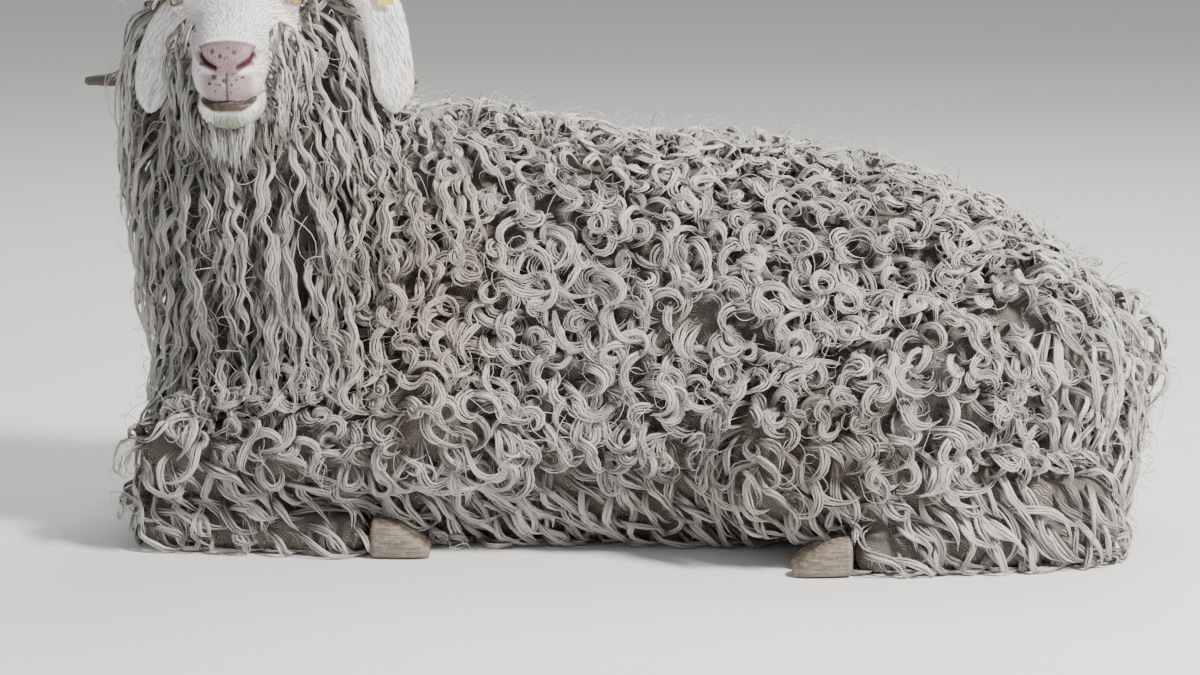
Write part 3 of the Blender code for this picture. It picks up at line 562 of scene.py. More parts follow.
headForm = {
    "nose": (-0.369, -0.220, 0.461),
    "yaw": math.radians(2.0),
    "pitch": math.radians(-1.0),
    "voxel": 0.0013,
    # distance behind the nose, half width, top, bottom
    "skull": (
        (-0.006, 0.0130, 0.005, -0.026), (0.002, 0.0235, 0.014, -0.036), (0.014, 0.0300, 0.0195, -0.0405),
        (0.030, 0.0325, 0.0245, -0.0400), (0.050, 0.0330, 0.0330, -0.0370), (0.075, 0.0375, 0.0460, -0.0360),
        (0.098, 0.0490, 0.0610, -0.0420), (0.120, 0.0560, 0.0740, -0.0480), (0.145, 0.0580, 0.0860, -0.0500),
        (0.170, 0.0540, 0.0910, -0.0450), (0.195, 0.0440, 0.0850, -0.0300), (0.212, 0.0300, 0.0700, -0.0050),
    ),
    "jaw": (
        (0.002, 0.0130, -0.034, -0.050), (0.008, 0.0215, -0.030, -0.057), (0.022, 0.0255, -0.024, -0.061),
        (0.045, 0.0270, -0.018, -0.061), (0.080, 0.0340, -0.010, -0.067), (0.115, 0.0430, 0.000, -0.078),
        (0.145, 0.0460, 0.010, -0.080), (0.172, 0.0380, 0.010, -0.062),
    ),
    "orbit": ((0.0375, 0.1180, 0.0455), 0.0185),
    "lids": 0.0150,
    "opening": (0.0118, 0.0078),
    "slant": -0.20,
}

eyeForm = {"radius": 0.0125, "spot": (0.0455, 0.115, 0.0475), "out": Vector((0.90, 0.38, 0.10))}

headFrame = (
    Matrix.Translation(headForm["nose"])
    @ Matrix.Rotation(headForm["yaw"], 4, "Z")
    @ Matrix.Rotation(headForm["pitch"], 4, "X")
)
headTurn = np.array(headFrame.to_3x3())
headOrigin = np.array(headForm["nose"])


def fromHead(across, behind, up):
    # a world point from the head's frame: across to the goat's left, behind the nose, up
    return headFrame @ Vector((across, behind, up))


def eyeCentre(side):
    across, behind, up = eyeForm["spot"]
    return fromHead(side * across, behind, up)


def toHead(points):
    return (points - headOrigin) @ headTurn


def mirrored(rows):
    return [(r[0], -r[1], *r[2:]) for r in rows]


def trunkRings(depth, count=70, sides=72):
    rings = []
    read = readCurve(bodyForm["trunk"], count)
    middleX = (read[0][0] + read[-1][0]) / 2
    reach = (read[-1][0] - read[0][0]) / 2
    for x, top, middle, half, bottom in read:
        across, up = ovalRing(half - depth, top - depth, bottom + depth, middle, bodyForm["power"], sides)
        shiftedX = middleX + (x - middleX) * (1 - depth * 0.6 / reach)
        rings.append(np.column_stack([np.full(sides, shiftedX), across, up]))
    return domed(rings, 0.12)


def neckRings(depth, count=40, sides=64):
    rings = []
    a = np.linspace(0, 2 * math.pi, sides, endpoint=False)
    for x, y, z, halfX, halfY in readCurve(bodyForm["neck"], count):
        outline = x + (halfX - depth) * np.cos(a), y + (halfY - depth) * np.sin(a)
        rings.append(np.column_stack([*outline, np.full(sides, z)]))
    return domed(rings, 0.35)


def headRings(rows, power, count, sides):
    rings = []
    for behind, half, top, bottom in readCurve(rows, count):
        across, up = ovalRing(half, top, bottom, (top + bottom) / 2, power, sides)
        local = np.column_stack([across, np.full(sides, behind), up])
        rings.append(local @ headTurn.T + headOrigin)
    return domed(rings, 0.25)


def ballShell(centre, radius, sides=40):
    rings = []
    for i in range(1, sides // 2):
        a = math.pi * i / (sides // 2)
        b = np.linspace(0, 2 * math.pi, sides, endpoint=False)
        flat = np.column_stack([np.sin(a) * np.cos(b), np.sin(a) * np.sin(b), np.full(sides, math.cos(a))])
        rings.append(np.array(centre) + radius * flat)
    corners, faces = loftShell(rings)
    corners[-2:] = np.array(centre) + [(0, 0, radius), (0, 0, -radius)]
    return corners, faces


def limbShell(rows, depth, count, sides, reach=0.5):
    # a limb thinner than the solid by the coat's depth, rounded at both ends
    shrunk = [(*r[:3], *(size - depth for size in r[3:])) for r in rows]
    return loftShell(domed(tubeRings(shrunk, count, sides), reach))


def buildBody():
    shells = [loftShell(rings(bodyForm["coreDepth"])) for rings in (trunkRings, neckRings)]
    shells.append(limbShell(bodyForm["tail"], bodyForm["tailCoreDepth"], 20, 24))
    for rows in bodyForm["foreleg"] + bodyForm["hindleg"]:
        for leg in (rows, mirrored(rows)):
            shells.append(limbShell(leg, bodyForm["legCoreDepth"], 26, 36, 0.8))
    body = fuse("bodyDraft", shells, bodyForm["voxel"], 8)
    points = pointsOf(body.data)
    points[:, 2] = np.maximum(points[:, 2], bodyForm["clearOfFloor"])
    setPoints(body.data, points)
    return body


def eyeAxes(side):
    out = eyeForm["out"]
    turn = headFrame.to_3x3()
    outward = (turn @ Vector((side * out.x, -out.y, out.z))).normalized()
    ahead = turn @ Vector((0, -1, headForm["slant"]))
    ahead = (ahead - ahead.dot(outward) * outward).normalized()
    up = outward.cross(ahead) * side
    return outward, ahead, up


# swellings and hollows of the face, in the head's frame: centre, size, height
swells = {
    "cheekMuscle": ((0.046, 0.130, -0.022), (0.016, 0.030, 0.026), 0.0035),
    "crestUnderEye": ((0.044, 0.088, 0.016), (0.010, 0.030, 0.006), 0.0022),
    "hollowBesideNose": ((0.030, 0.060, 0.004), (0.012, 0.022, 0.012), -0.0022),
    "brow": ((0.046, 0.122, 0.066), (0.012, 0.018, 0.008), 0.0030),
    "dipBetweenBrows": ((0.000, 0.105, 0.062), (0.016, 0.024, 0.012), -0.0012),
    "upperLipLobes": ((0.015, 0.010, -0.026), (0.010, 0.020, 0.008), 0.0018),
    "chin": ((0.000, 0.016, -0.060), (0.016, 0.014, 0.010), 0.0022),
    "noseWings": ((0.018, 0.006, 0.010), (0.009, 0.014, 0.007), 0.0016),
}

# places on the muzzle, in the head's frame: across, up
muzzle = {
    "mouth": ((0.0355, -0.0270), (0.0330, -0.0300), (0.0240, -0.0345), (0.0120, -0.0372), (0.0, -0.0365)),
    "nostril": ((0.0245, 0.0050), (0.0225, 0.0010), (0.0175, -0.0030), (0.0105, -0.0065)),
    "padHalf": 0.0238,
    "padTop": 0.0165,
    "padBottom": -0.0125,
    # across, behind, up of the middle of the chin, stained and with a painted green reflection from the grass
    "chin": (0.0, 0.008, -0.057),
    # across, up, radius of the larger grey spots
    "spots": (
        (-0.0120, 0.0074, 0.0017), (-0.0050, 0.0038, 0.0015), (0.0070, 0.0066, 0.0019),
        (0.0015, 0.0105, 0.0010), (-0.0107, -0.0145, 0.0020), (-0.0016, -0.0173, 0.0020),
        (0.0044, -0.0216, 0.0010), (0.0090, -0.0170, 0.0009), (-0.0060, -0.0215, 0.0009),
        (-0.0150, -0.0205, 0.0010), (0.0140, -0.0150, 0.0011), (0.0110, -0.0240, 0.0008),
        (-0.0100, -0.0270, 0.0008), (0.0035, -0.0280, 0.0008),
    ),
}


# how the muzzle is carved and painted, in metres
carving = {
    "slitWidth": 0.0030,
    "slitNarrows": 0.0011,
    "slitDepth": 0.0062,
    "wing": {"off": 0.0048, "width": 0.0016, "height": 0.0012},
    "mouth": {"width": 0.0013, "depth": 0.0032},
    "lip": {"up": -0.0425, "width": 0.0042, "height": 0.0016, "paintHalf": 0.0265, "paintDepth": 0.0106},
    "groove": {"width": 0.0012, "depth": 0.0014},
    "padHeight": 0.0006,
    "lidSquash": 0.80,
}


def hump(distance, width):
    return np.exp(-(distance / width) ** 2)


def awayFromLine(across, up, line, count=40):
    # distance in the muzzle's front plane from a short curve, and how far along it the nearest point is
    read = readCurve(line, count)
    steps = np.hypot(across[:, None] - read[None, :, 0], up[:, None] - read[None, :, 1])
    nearest = steps.argmin(axis=1)
    return steps[np.arange(len(across)), nearest], nearest / (count - 1)


def sculptFace(points, normals):
    across, behind, up = toHead(points).T
    nose = behind < 0.040
    sideways = np.abs(across)
    moved = np.zeros(len(points))
    for centre, size, height in swells.values():
        reach = ((sideways - centre[0]) / size[0]) ** 2
        reach += ((behind - centre[1]) / size[1]) ** 2 + ((up - centre[2]) / size[2]) ** 2
        moved += height * np.exp(-reach)

    # the nostrils, with a raised edge above them
    slitAway, slitAlong = awayFromLine(sideways, up, muzzle["nostril"])
    slit = hump(slitAway, carving["slitWidth"] - carving["slitNarrows"] * slitAlong) * nose
    wing = carving["wing"]
    edge = hump(slitAway - wing["off"], wing["width"]) * nose * smoothStep(-0.004, 0.006, up + 0.4 * sideways)
    moved += wing["height"] * edge - carving["slitDepth"] * slit

    # the mouth, the lower lip and the line between nose and mouth
    mouthAway = awayFromLine(sideways, up, muzzle["mouth"])[0]
    mouth, lip, groove = carving["mouth"], carving["lip"], carving["groove"]
    crease = hump(mouthAway, mouth["width"]) * (behind < 0.062)
    below = hump(up - lip["up"], lip["width"]) * (sideways < 0.026) * (behind < 0.032)
    line = hump(sideways, groove["width"]) * (behind < 0.02)
    line *= smoothStep(-0.0095, -0.0125, up) * smoothStep(-0.0375, -0.034, up)
    moved += lip["height"] * below - mouth["depth"] * crease - groove["depth"] * line

    # the bare pad of the nose
    padTop = muzzle["padTop"] - 0.006 * (sideways / muzzle["padHalf"]) ** 2
    padLow = muzzle["padBottom"] + 0.007 * smoothStep(0.006, 0.022, sideways)
    pad = smoothStep(0.0012, -0.0012, sideways - muzzle["padHalf"]) * smoothStep(0.0014, -0.0014, up - padTop)
    pad *= smoothStep(-0.0016, 0.0016, up - padLow) * (behind < 0.032)
    points = points + normals * (moved + carving["padHeight"] * pad)[:, None]

    # the lids part in an almond, where the skin sinks behind the eyeball
    rim = np.zeros(len(points))
    for side in (1, -1):
        centre = np.array(eyeCentre(side))
        outward, ahead, rise = (np.array(v) for v in eyeAxes(side))
        local = points - centre
        far = np.linalg.norm(local, axis=1)
        wide = local @ ahead / headForm["opening"][0]
        tall = local @ rise / (headForm["opening"][1] * (1 - 0.25 * np.minimum(np.abs(wide), 1)))
        depth = local @ outward
        inside = np.hypot(wide, tall)
        near = (far < 0.021) & (depth > 0.001)
        sunk = smoothStep(1.16, 0.92, inside) * near
        radius = far * (1 - sunk) + eyeForm["radius"] * carving["lidSquash"] * sunk
        points = np.where(near[:, None], centre + local / far[:, None] * radius[:, None], points)
        rim = np.maximum(rim, smoothStep(1.42, 1.10, inside) * near)

    mouthUp = np.interp(sideways, *np.array(muzzle["mouth"])[::-1].T)
    lipDepth = lip["paintDepth"] * np.sqrt(np.clip(1 - (sideways / lip["paintHalf"]) ** 2, 0, 1))
    lower = smoothStep(0.0002, 0.0012, mouthUp - up) * smoothStep(lipDepth, lipDepth - 0.0030, mouthUp - up)
    # the upper lip takes the pad's darker pink, partly as painted shade below the pad
    upper = smoothStep(0.031, 0.016, sideways) * smoothStep(-0.010, -0.014, up)
    upper = upper * (up > -0.0375) * (behind < 0.026)
    # where the chin's green stain and painted green reflection lie
    chin = np.exp(-((up + 0.057) / 0.011) ** 2 - (across / 0.019) ** 2)
    masks = {
        "wool": np.zeros(len(points)),
        "nose": np.clip(pad + 0.88 * upper, 0, 1),
        "padEdge": pad * smoothStep(-0.0050, -0.0015, up - padTop),
        "slit": smoothStep(0.30, 0.75, slit),
        "flush": hump(slitAway, 0.0040) * (1 - slitAlong) * nose,
        "mouth": np.clip(smoothStep(0.35, 0.8, crease) + 0.8 * smoothStep(0.3, 0.8, line), 0, 1),
        "lip": lower * (behind < 0.040),
        "rim": rim,
        "chin": chin * smoothStep(0.06, 0.02, behind),
    }
    return points, masks


def buildHead():
    shells = [loftShell(headRings(headForm["skull"], 2.3, 70, 88))]
    shells.append(loftShell(headRings(headForm["jaw"], 2.4, 50, 64)))
    for side in (1, -1):
        (x, y, z), radius = headForm["orbit"]
        shells.append(ballShell(fromHead(side * x, y, z), radius))
        shells.append(ballShell(eyeCentre(side), headForm["lids"]))
    head = fuse("headDraft", shells, headForm["voxel"], 12)
    points, masks = sculptFace(pointsOf(head.data), normalsOf(head.data))
    setPoints(head.data, points)
    return head, masks


def joinMeshes(name, pieces):
    shells = []
    for piece in pieces:
        faces = [tuple(p.vertices) for p in piece.data.polygons]
        shells.append((pointsOf(piece.data), faces))
    joined = makePiece(name, shells)
    for piece in pieces:
        bpy.data.objects.remove(piece)
    return joined


skinPaint = skinMaterial()
bodyDraft = buildBody()
headDraft, faceMasks = buildHead()
bodyCount = len(bodyDraft.data.vertices)
skin = joinMeshes("skin", [bodyDraft, headDraft])
for maskName, values in faceMasks.items():
    addMask(skin.data, maskName, np.concatenate([np.full(bodyCount, maskName == "wool"), values]))
fleshNodes = [
    "torso", "neck", "head", "tail", "foreleg_left", "foreleg_right", "hindleg_left", "hindleg_right",
]
finishPiece(skin, skinPaint, fleshNodes)
print("stage: the skin has", len(skin.data.polygons), "faces")

# horns, eyes, ears, hooves and the tag

hornForm = {
    # across, behind, up, half width, for the goat's left
    "rows": (
        (0.022, 0.150, 0.070, 0.0175), (0.030, 0.180, 0.112, 0.0172), (0.052, 0.232, 0.136, 0.0160),
        (0.074, 0.290, 0.118, 0.0143), (0.088, 0.330, 0.055, 0.0122), (0.100, 0.336, -0.010, 0.0102),
        (0.126, 0.330, -0.040, 0.0082), (0.158, 0.322, -0.044, 0.0048),
    ),
    "ridges": 34,
    "ridgeHeight": 0.036,
}


def buildHorn(name, side, material, node):
    rows = [(*fromHead(side * r[0], r[1], r[2]), r[3]) for r in hornForm["rows"]]
    count, sides = 220, 30
    rings = tubeRings(rows, count, sides)
    along = np.linspace(0, 1, count)
    a = np.linspace(0, 2 * math.pi, sides, endpoint=False)
    ridges, ridgeMask = [], []
    for t, ring in zip(along, rings):
        uneven = t ** 0.85 + 0.006 * math.sin(41 * t + side) + 0.004 * math.sin(97 * t)
        wave = math.sin(2 * math.pi * hornForm["ridges"] * uneven) * (1 - t) ** 0.7
        keel = 1 + 0.10 * np.maximum(0, np.cos(a - math.pi / 2)) ** 3
        centre = ring.mean(axis=0)
        swollen = (0.955 + hornForm["ridgeHeight"] * wave) * keel / 1.05
        ridges.append(centre + (ring - centre) * swollen[:, None])
        ridgeMask.append(np.full(sides, max(0.0, -wave)))
    rings = domed(ridges, 0.9, 5)
    corners, faces = loftShell(rings)
    piece = makePiece(name, [(corners, faces)])
    pad = np.zeros(5 * sides)
    alongMask = np.concatenate([pad, np.repeat(along, sides), pad + 1, [0, 1]])
    addMask(piece.data, "along", alongMask)
    addMask(piece.data, "ridge", np.concatenate([pad, np.concatenate(ridgeMask), pad, [0, 0]]))
    finishPiece(piece, material, [node])
    return piece


def eyeMaterial(name, side):
    recipe = Recipe(name)
    place = recipe.place()
    outward, ahead, up = eyeAxes(side)
    wide, tall, out = recipe.along(place, eyeCentre(side), (ahead, up, outward))
    local = recipe.vectors("SUBTRACT", place, tuple(eyeCentre(side)), "Vector")
    reach = (wide * wide + tall * tall) ** 0.5
    rays = recipe.noise(recipe.stretch(local, (420.0, 420.0, 420.0)), 1.0, 3.0)
    iris = recipe.tones(rays, 0.35, 0.65, (0.42, 0.25, 0.055), (0.58, 0.39, 0.12))
    iris = recipe.tones(reach, 0.0062, 0.0088, iris, (0.12, 0.07, 0.02))
    colour = recipe.tones(reach, 0.0086, 0.0096, iris, (0.34, 0.27, 0.24))
    pupil = recipe.between((wide / 0.0056) ** 4 + (tall / 0.0021) ** 4, 0.75, 1.15, 1.0, 0.0)
    colour = recipe.blend(pupil * recipe.between(out, 0.0, 0.001), colour, (0.006, 0.006, 0.008))
    wet = {"Roughness": 0.06, "Coat Weight": 1.0, "Coat Roughness": 0.03}
    return recipe.surface({"Base Color": colour, **wet})


def buildEye(name, side, node):
    piece = makePiece(name, [ballShell(eyeCentre(side), eyeForm["radius"] * 0.992, 56)])
    finishPiece(piece, eyeMaterial(name + "Paint", side), [node])
    return piece


earForm = {
    # across, behind, up, half width
    "left": (
        (0.050, 0.154, 0.042, 0.0130), (0.070, 0.151, 0.060, 0.0160), (0.103, 0.146, 0.066, 0.0185),
        (0.128, 0.142, 0.042, 0.0200), (0.138, 0.141, 0.005, 0.0205), (0.142, 0.141, -0.035, 0.0200),
        (0.143, 0.142, -0.060, 0.0120),
    ),
    "right": (
        (0.050, 0.142, 0.046, 0.0105), (0.062, 0.138, 0.028, 0.0150), (0.073, 0.135, 0.002, 0.0185),
        (0.079, 0.134, -0.030, 0.0185), (0.081, 0.135, -0.058, 0.0110),
    ),
    "thickness": 0.0042,
    "cup": 0.010,
}


def buildEar(name, side, material, node):
    rows = [(*fromHead(side * r[0], r[1], r[2]), r[3]) for r in earForm["left" if side > 0 else "right"]]
    count, arc = 130, 22
    read = readCurve(rows, count)
    outward = Vector((0.35 * side, -1.0, 0.15)).normalized()
    rings, hollow, streak = [], [], []
    for i, row in enumerate(read):
        t = i / (count - 1)
        ahead = Vector(read[min(i + 1, count - 1)][:3] - read[max(i - 1, 0)][:3]).normalized()
        across = ahead.cross(outward).normalized()
        out = across.cross(ahead)
        tip = math.sqrt(max(0.004, 1 - (max(0.0, t - 0.85) / 0.152) ** 2))
        half = row[3] * tip
        flutter = 0.0010 * math.sin(9 * t + side) + 0.0006 * math.sin(23 * t)
        ring = []
        for sheet in (1, -1):
            wide = half if sheet > 0 else half - earForm["thickness"] * 0.5
            deep = earForm["cup"] if sheet > 0 else earForm["cup"] - earForm["thickness"]
            for j in range(arc):
                share = j / (arc - 1) - 0.5
                a = math.radians(164) * share * sheet
                depth = deep * tip * math.cos(a) - earForm["cup"] / 2 * tip + flutter * abs(share) * 2
                vein = 0.0004 * math.cos(share * sheet * 26) * tip
                ring.append(Vector(row[:3]) + across * wide * math.sin(a) + out * (depth + vein * sheet))
                hollow.append(float(sheet < 0 and abs(share) < 0.47))
                # the grey line down the outer sheet is painted shade of the ear's fold
                band = math.exp(-((share + 0.06) / 0.12) ** 2) * smoothStep(0.3, 0.5, t)
                streak.append(band if sheet > 0 else 0.0)
        rings.append(np.array([tuple(p) for p in ring]))
    sides = 2 * arc
    corners = np.vstack(rings)
    faces = []
    for i in range(count - 1):
        for j in range(sides):
            k = (j + 1) % sides
            faces.append((i * sides + j, i * sides + k, (i + 1) * sides + k, (i + 1) * sides + j))
    for first, turned in ((0, True), ((count - 1) * sides, False)):
        for j in range(arc - 1):
            strip = (first + j, first + j + 1, first + sides - 2 - j, first + sides - 1 - j)
            faces.append(strip[::-1] if turned else strip)
    piece = makePiece(name, [(corners, facingOut(corners, faces))])
    addMask(piece.data, "hollow", hollow)
    addMask(piece.data, "streak", streak)
    finishPiece(piece, material, [node])
    return piece


hoofForm = {
    "fore": ((-0.250, -0.143, 0.0), 0.0),
    "hind": ((0.180, -0.214, 0.0), math.pi),
    # along, half width, height
    "claw": ((0.000, 0.0140, 0.036), (0.018, 0.0150, 0.032), (0.038, 0.0130, 0.020), (0.050, 0.0080, 0.010)),
}


def buildHoof(name, limb, side, material, node):
    (x, y, z), turn = hoofForm[limb]
    stand = Matrix.Translation((x, y * side, z)) @ Matrix.Rotation(turn, 4, "Z")
    shells = []
    for claw in (1, -1):
        rings = []
        for along, half, height in readCurve(hoofForm["claw"], 26):
            middle = claw * (0.0128 + along * 0.06)
            across, up = ovalRing(half * 0.98, height, 0.0, height * 0.3, 3.0, 36)
            band = 0.012 * math.sin(along * 900)
            local = np.column_stack([np.full(36, along), middle + across * (1 + band), up * (0.985 + band)])
            rings.append(np.array([tuple(stand @ Vector(p)) for p in local]))
        shells.append(loftShell(domed(rings, 0.2, 3)))
    piece = makePiece(name, shells)
    points = pointsOf(piece.data)
    points[:, 2] = np.maximum(points[:, 2], 0.0)
    setPoints(piece.data, points)
    finishPiece(piece, material, [node])
    return piece


def finishTag(material):
    # the solid tag stays, with a bevelled copy of its shape over it
    piece = addObject("earTag", bpy.data.objects["ear_tag"].data.copy())
    bevel = piece.modifiers.new("bevel", "BEVEL")
    bevel.width = 0.00045
    bevel.segments = 3
    bevel.angle_limit = math.radians(40)
    bakeModifiers(piece)
    finishPiece(piece, material, ["ear_tag"], smooth=False)
    return piece


earPaint, hoofPaint = earMaterial(), hoofMaterial()
hornPaints = {
    1: hornMaterial("hornWarmTip", (0.33, 0.20, 0.085)),
    -1: hornMaterial("hornGreyTip", (0.12, 0.10, 0.088)),
}
for side, word in ((1, "left"), (-1, "right")):
    title = word.capitalize()
    buildHorn("horn" + title, side, hornPaints[side], "horn_" + word)
    buildEye("eye" + title, side, "eye_" + word)
    buildEar("ear" + title, side, earPaint, "ear_" + word)
    for limb in ("fore", "hind"):
        buildHoof(limb + "Hoof" + title, limb, side, hoofPaint, f"{limb}_hoof_{word}")
finishTag(tagMaterial())
print("stage: horns, eyes, ears, hooves and tag are made")

# the coat

coat = {
    "seed": 5,
    "bodyPicks": 130000,
    "headPicks": 70000,
    "earPicks": 9000,
    "sunk": 0.003,
    "pieceLimit": 190000,
    # locks of the head stay this far off horns, ears and tag, and off the middle of an eye
    "offHard": 0.0024,
    "offEye": 0.0195,
    # the near ear hangs clear from here on, and of the locks before the far one this share stays
    "nearEarFrom": 0.098,
    "veil": 0.62,
    "offFloor": 0.003,
    # least and most size of a strand and width of a lock, as shares of the kind's own
    "strandSize": (0.52, 1.32),
    "lockWidth": (0.65, 1.30),
    "loose": 0.34,
    "slide": 0.12,
    # a strand's section: corners in degrees, width and height
    "section": ([90, 210, 330], 1.18, 0.80),
}

# for each kind of lock: spacing of the roots, shortest and longest lock, lowest and highest reach off the
# skin, strands, the gap between them and their radius, whole turn and swing in degrees, length of a wave,
# spread of the starting direction, height of the corkscrew, rings along a strand, and how far it hangs clear
lock = dict(strands=3, swing=20, pitch=0.030, spread=34, cork=0.0030, rings=11, hang=0.0)
hair = dict(lock, strands=1, gap=0.0)
shortHair = dict(hair, swing=0, cork=0.0, rings=4)
lockKinds = {
    "curl": dict(
        lock, spacing=0.0106, length=(0.044, 0.076), lift=(0.010, 0.029), strands=4, gap=0.0021,
        radius=0.00145, turn=(120, 320), swing=10, pitch=0.040, spread=50,
    ),
    "ringlet": dict(
        lock, spacing=0.0116, length=(0.078, 0.125), lift=(0.009, 0.028), gap=0.0020, radius=0.00165,
        turn=(-40, 70), swing=48, pitch=0.040, spread=14, cork=0.0040, rings=15, hang=0.010,
    ),
    "thigh": dict(
        lock, spacing=0.0118, length=(0.050, 0.088), lift=(0.009, 0.027), strands=4, gap=0.0019,
        radius=0.00140, turn=(40, 250), pitch=0.034, spread=30, cork=0.0025,
    ),
    "leg": dict(
        lock, spacing=0.0130, length=(0.048, 0.082), lift=(0.006, 0.018), gap=0.0023, radius=0.00165,
        turn=(0, 190), pitch=0.032, cork=0.0020, rings=10,
    ),
    "cheek": dict(
        lock, spacing=0.0076, length=(0.038, 0.076), lift=(0.004, 0.014), gap=0.0016, radius=0.00110,
        turn=(20, 220), swing=38, pitch=0.026, spread=22, rings=12, hang=0.018,
    ),
    "poll": dict(
        lock, spacing=0.0070, length=(0.034, 0.066), lift=(0.004, 0.016), gap=0.0017, radius=0.00110,
        turn=(60, 280), swing=30, pitch=0.026, rings=12, hang=0.008,
    ),
    "crown": dict(
        lock, spacing=0.0078, length=(0.036, 0.064), lift=(0.006, 0.020), gap=0.0019, radius=0.00125,
        turn=(60, 280), swing=30, pitch=0.028, spread=180, rings=12,
    ),
    "beard": dict(
        lock, spacing=0.0036, length=(0.016, 0.040), lift=(0.001, 0.004), gap=0.0013, radius=0.00055,
        turn=(-140, 150), swing=24, pitch=0.018, cork=0.0016, rings=9, hang=0.050,
    ),
    "face": dict(
        shortHair, spacing=0.0026, length=(0.005, 0.010), lift=(0.0004, 0.0013), radius=0.00038,
        turn=(-20, 20), spread=14,
    ),
    "ear": dict(
        shortHair, spacing=0.0036, length=(0.005, 0.011), lift=(0.0003, 0.0014), radius=0.00040,
        turn=(-25, 25), spread=16,
    ),
    "wisp": dict(
        hair, spacing=0.0168, length=(0.040, 0.080), lift=(0.024, 0.042), radius=0.00034,
        turn=(140, 430), spread=80, cork=0.0040,
    ),
}


def onSide(across, behind, up):
    # the wool of the cheeks starts just behind the muzzle and stays clear of the eye
    start = 0.060 + 0.85 * np.maximum(0, up) + 0.25 * np.maximum(0, -0.030 - up)
    clear = np.hypot(behind - eyeForm["spot"][1], up - eyeForm["spot"][2]) > 0.024
    return (np.abs(across) > 0.021) & (behind > start) & clear & (up < 0.056)


def kindsAt(points, normals, onHead):
    # the name of the kind of lock that grows at each place: a later region covers an earlier one
    across, behind, up = toHead(points).T
    x, y, z = points.T
    aside, topward = np.abs(across), normals[:, 2]
    brow = 0.108 + 0.35 * np.maximum(0, aside - 0.018)
    regions = (
        # shoulder, chest, thigh, folded legs, throat, top of the neck
        ("ringlet", (z > 0.30 + 0.55 * (x + 0.24)) & (x < -0.17)),
        ("ringlet", (z > 0.10 + 0.62 * (x + 0.47)) & (x < -0.27)),
        ("thigh", (x > 0.33) & (z < 0.26 - 0.5 * np.maximum(0, 0.40 - x))),
        ("leg", (z < 0.100) & (np.abs(y) > 0.11)),
        ("ringlet", (aside < 0.085) & (behind < 0.21) & (up > -0.10) & (y < 0.02) & ~onHead),
        ("crown", (z > 0.50) & (topward > 0.30)),
        # the face, its sides and jaw, the brow and the back of the head, the chin
        ("face", onHead),
        ("cheek", onHead & onSide(across, behind, up)),
        ("cheek", onHead & (up < -0.040) & (behind > 0.060)),
        ("poll", onHead & (behind > brow) & (up >= 0.054)),
        ("poll", onHead & (behind > 0.142)),
        ("beard", onHead & (up < -0.050) & (aside < 0.020) & (behind > 0.012) & (behind < 0.062)),
        # nothing grows under the belly and at the floor
        ("", (z < 0.012) | ((topward < -0.80) & ~onHead & (z < 0.06))),
    )
    kind = np.full(len(points), "curl", dtype="<U8")
    for name, inside in regions:
        kind[inside] = name
    return kind


def lieOf(points, normals, name, sideways):
    # the way the coat lies, before each lock's own turn
    lie = np.empty_like(points)
    if name in ("curl", "wisp"):
        lie[:, 0] = 0.30
        lie[:, 1] = 0.9 * sideways * np.maximum(0, normals[:, 2])
        lie[:, 2] = -0.9
    elif name == "leg":
        lie[:] = (0.4, 0.0, -0.6)
    elif name == "poll":
        across, behind, _ = toHead(points).T
        lie[:, 0] = 0.55 * np.clip(across / 0.03, -1, 1) + 0.15 * sideways
        lie[:, 1] = np.where(behind < 0.165, -0.9, 0.5)
        lie[:, 2] = -0.45
    elif name == "beard":
        lie[:] = (0.0, -0.06, -1.0)
        lie[:, 0] = -9 * toHead(points)[:, 0]
    elif name == "face":
        lie[:] = headTurn @ np.array((0.0, 0.9, -0.25))
    elif name == "ear":
        lie[:, 0] = 0.5 * np.sign(points[:, 0] - headOrigin[0])
        lie[:, 1] = 0.0
        lie[:, 2] = -1.0
    else:
        lie[:] = (0.05, 0.0, -1.0)
        if name != "cheek":
            lie += 0.25 * normals * np.array((1, 1, 0))
            lie[:, 0] += 0.4 * np.maximum(0, normals[:, 2])
            lie[:, 1] += 0.8 * sideways * np.maximum(0, normals[:, 2])
    leaving = (lie * normals).sum(axis=1, keepdims=True)
    free = {"beard": 1.0, "cheek": 0.8, "ringlet": 0.5, "poll": 0.5}.get(name, 0.0)
    lie -= np.where(leaving > 0, 1 - free, 1.0) * leaving * normals
    return unit(lie + 1e-6)


def triangleCorners(mesh):
    mesh.calc_loop_triangles()
    corners = np.empty(len(mesh.loop_triangles) * 3, int)
    mesh.loop_triangles.foreach_get("vertices", corners)
    return corners.reshape(-1, 3)


def outerTriangles(mesh, headStart):
    # the skin's faces that no other form covers, with the two forms' faces told apart
    corners = triangleCorners(mesh)
    points = pointsOf(mesh)
    ofHead = corners[:, 0] >= headStart
    buried = np.zeros(len(points), bool)
    for other in (True, False):
        tree = BVHTree.FromPolygons(points.tolist(), corners[ofHead == other].tolist())
        span = range(0, headStart) if other else range(headStart, len(points))
        for i in span:
            spot, facing = tree.find_nearest(Vector(points[i]), 0.12)[:2]
            if spot is not None and (Vector(points[i]) - spot).dot(facing) < -0.0004:
                buried[i] = True
    shown = ~buried[corners].any(axis=1)
    return points, corners[shown], ofHead[shown]


def scatter(points, corners, picks, draw):
    a, b, c = (points[corners[:, i]] for i in range(3))
    cross = np.cross(b - a, c - a)
    areas = np.linalg.norm(cross, axis=1)
    chosen = draw.choice(len(corners), size=picks, p=areas / areas.sum())
    u, v = draw.random(picks), draw.random(picks)
    over = u + v > 1
    u[over], v[over] = 1 - u[over], 1 - v[over]
    return a[chosen] + (b - a)[chosen] * u[:, None] + (c - a)[chosen] * v[:, None], chosen


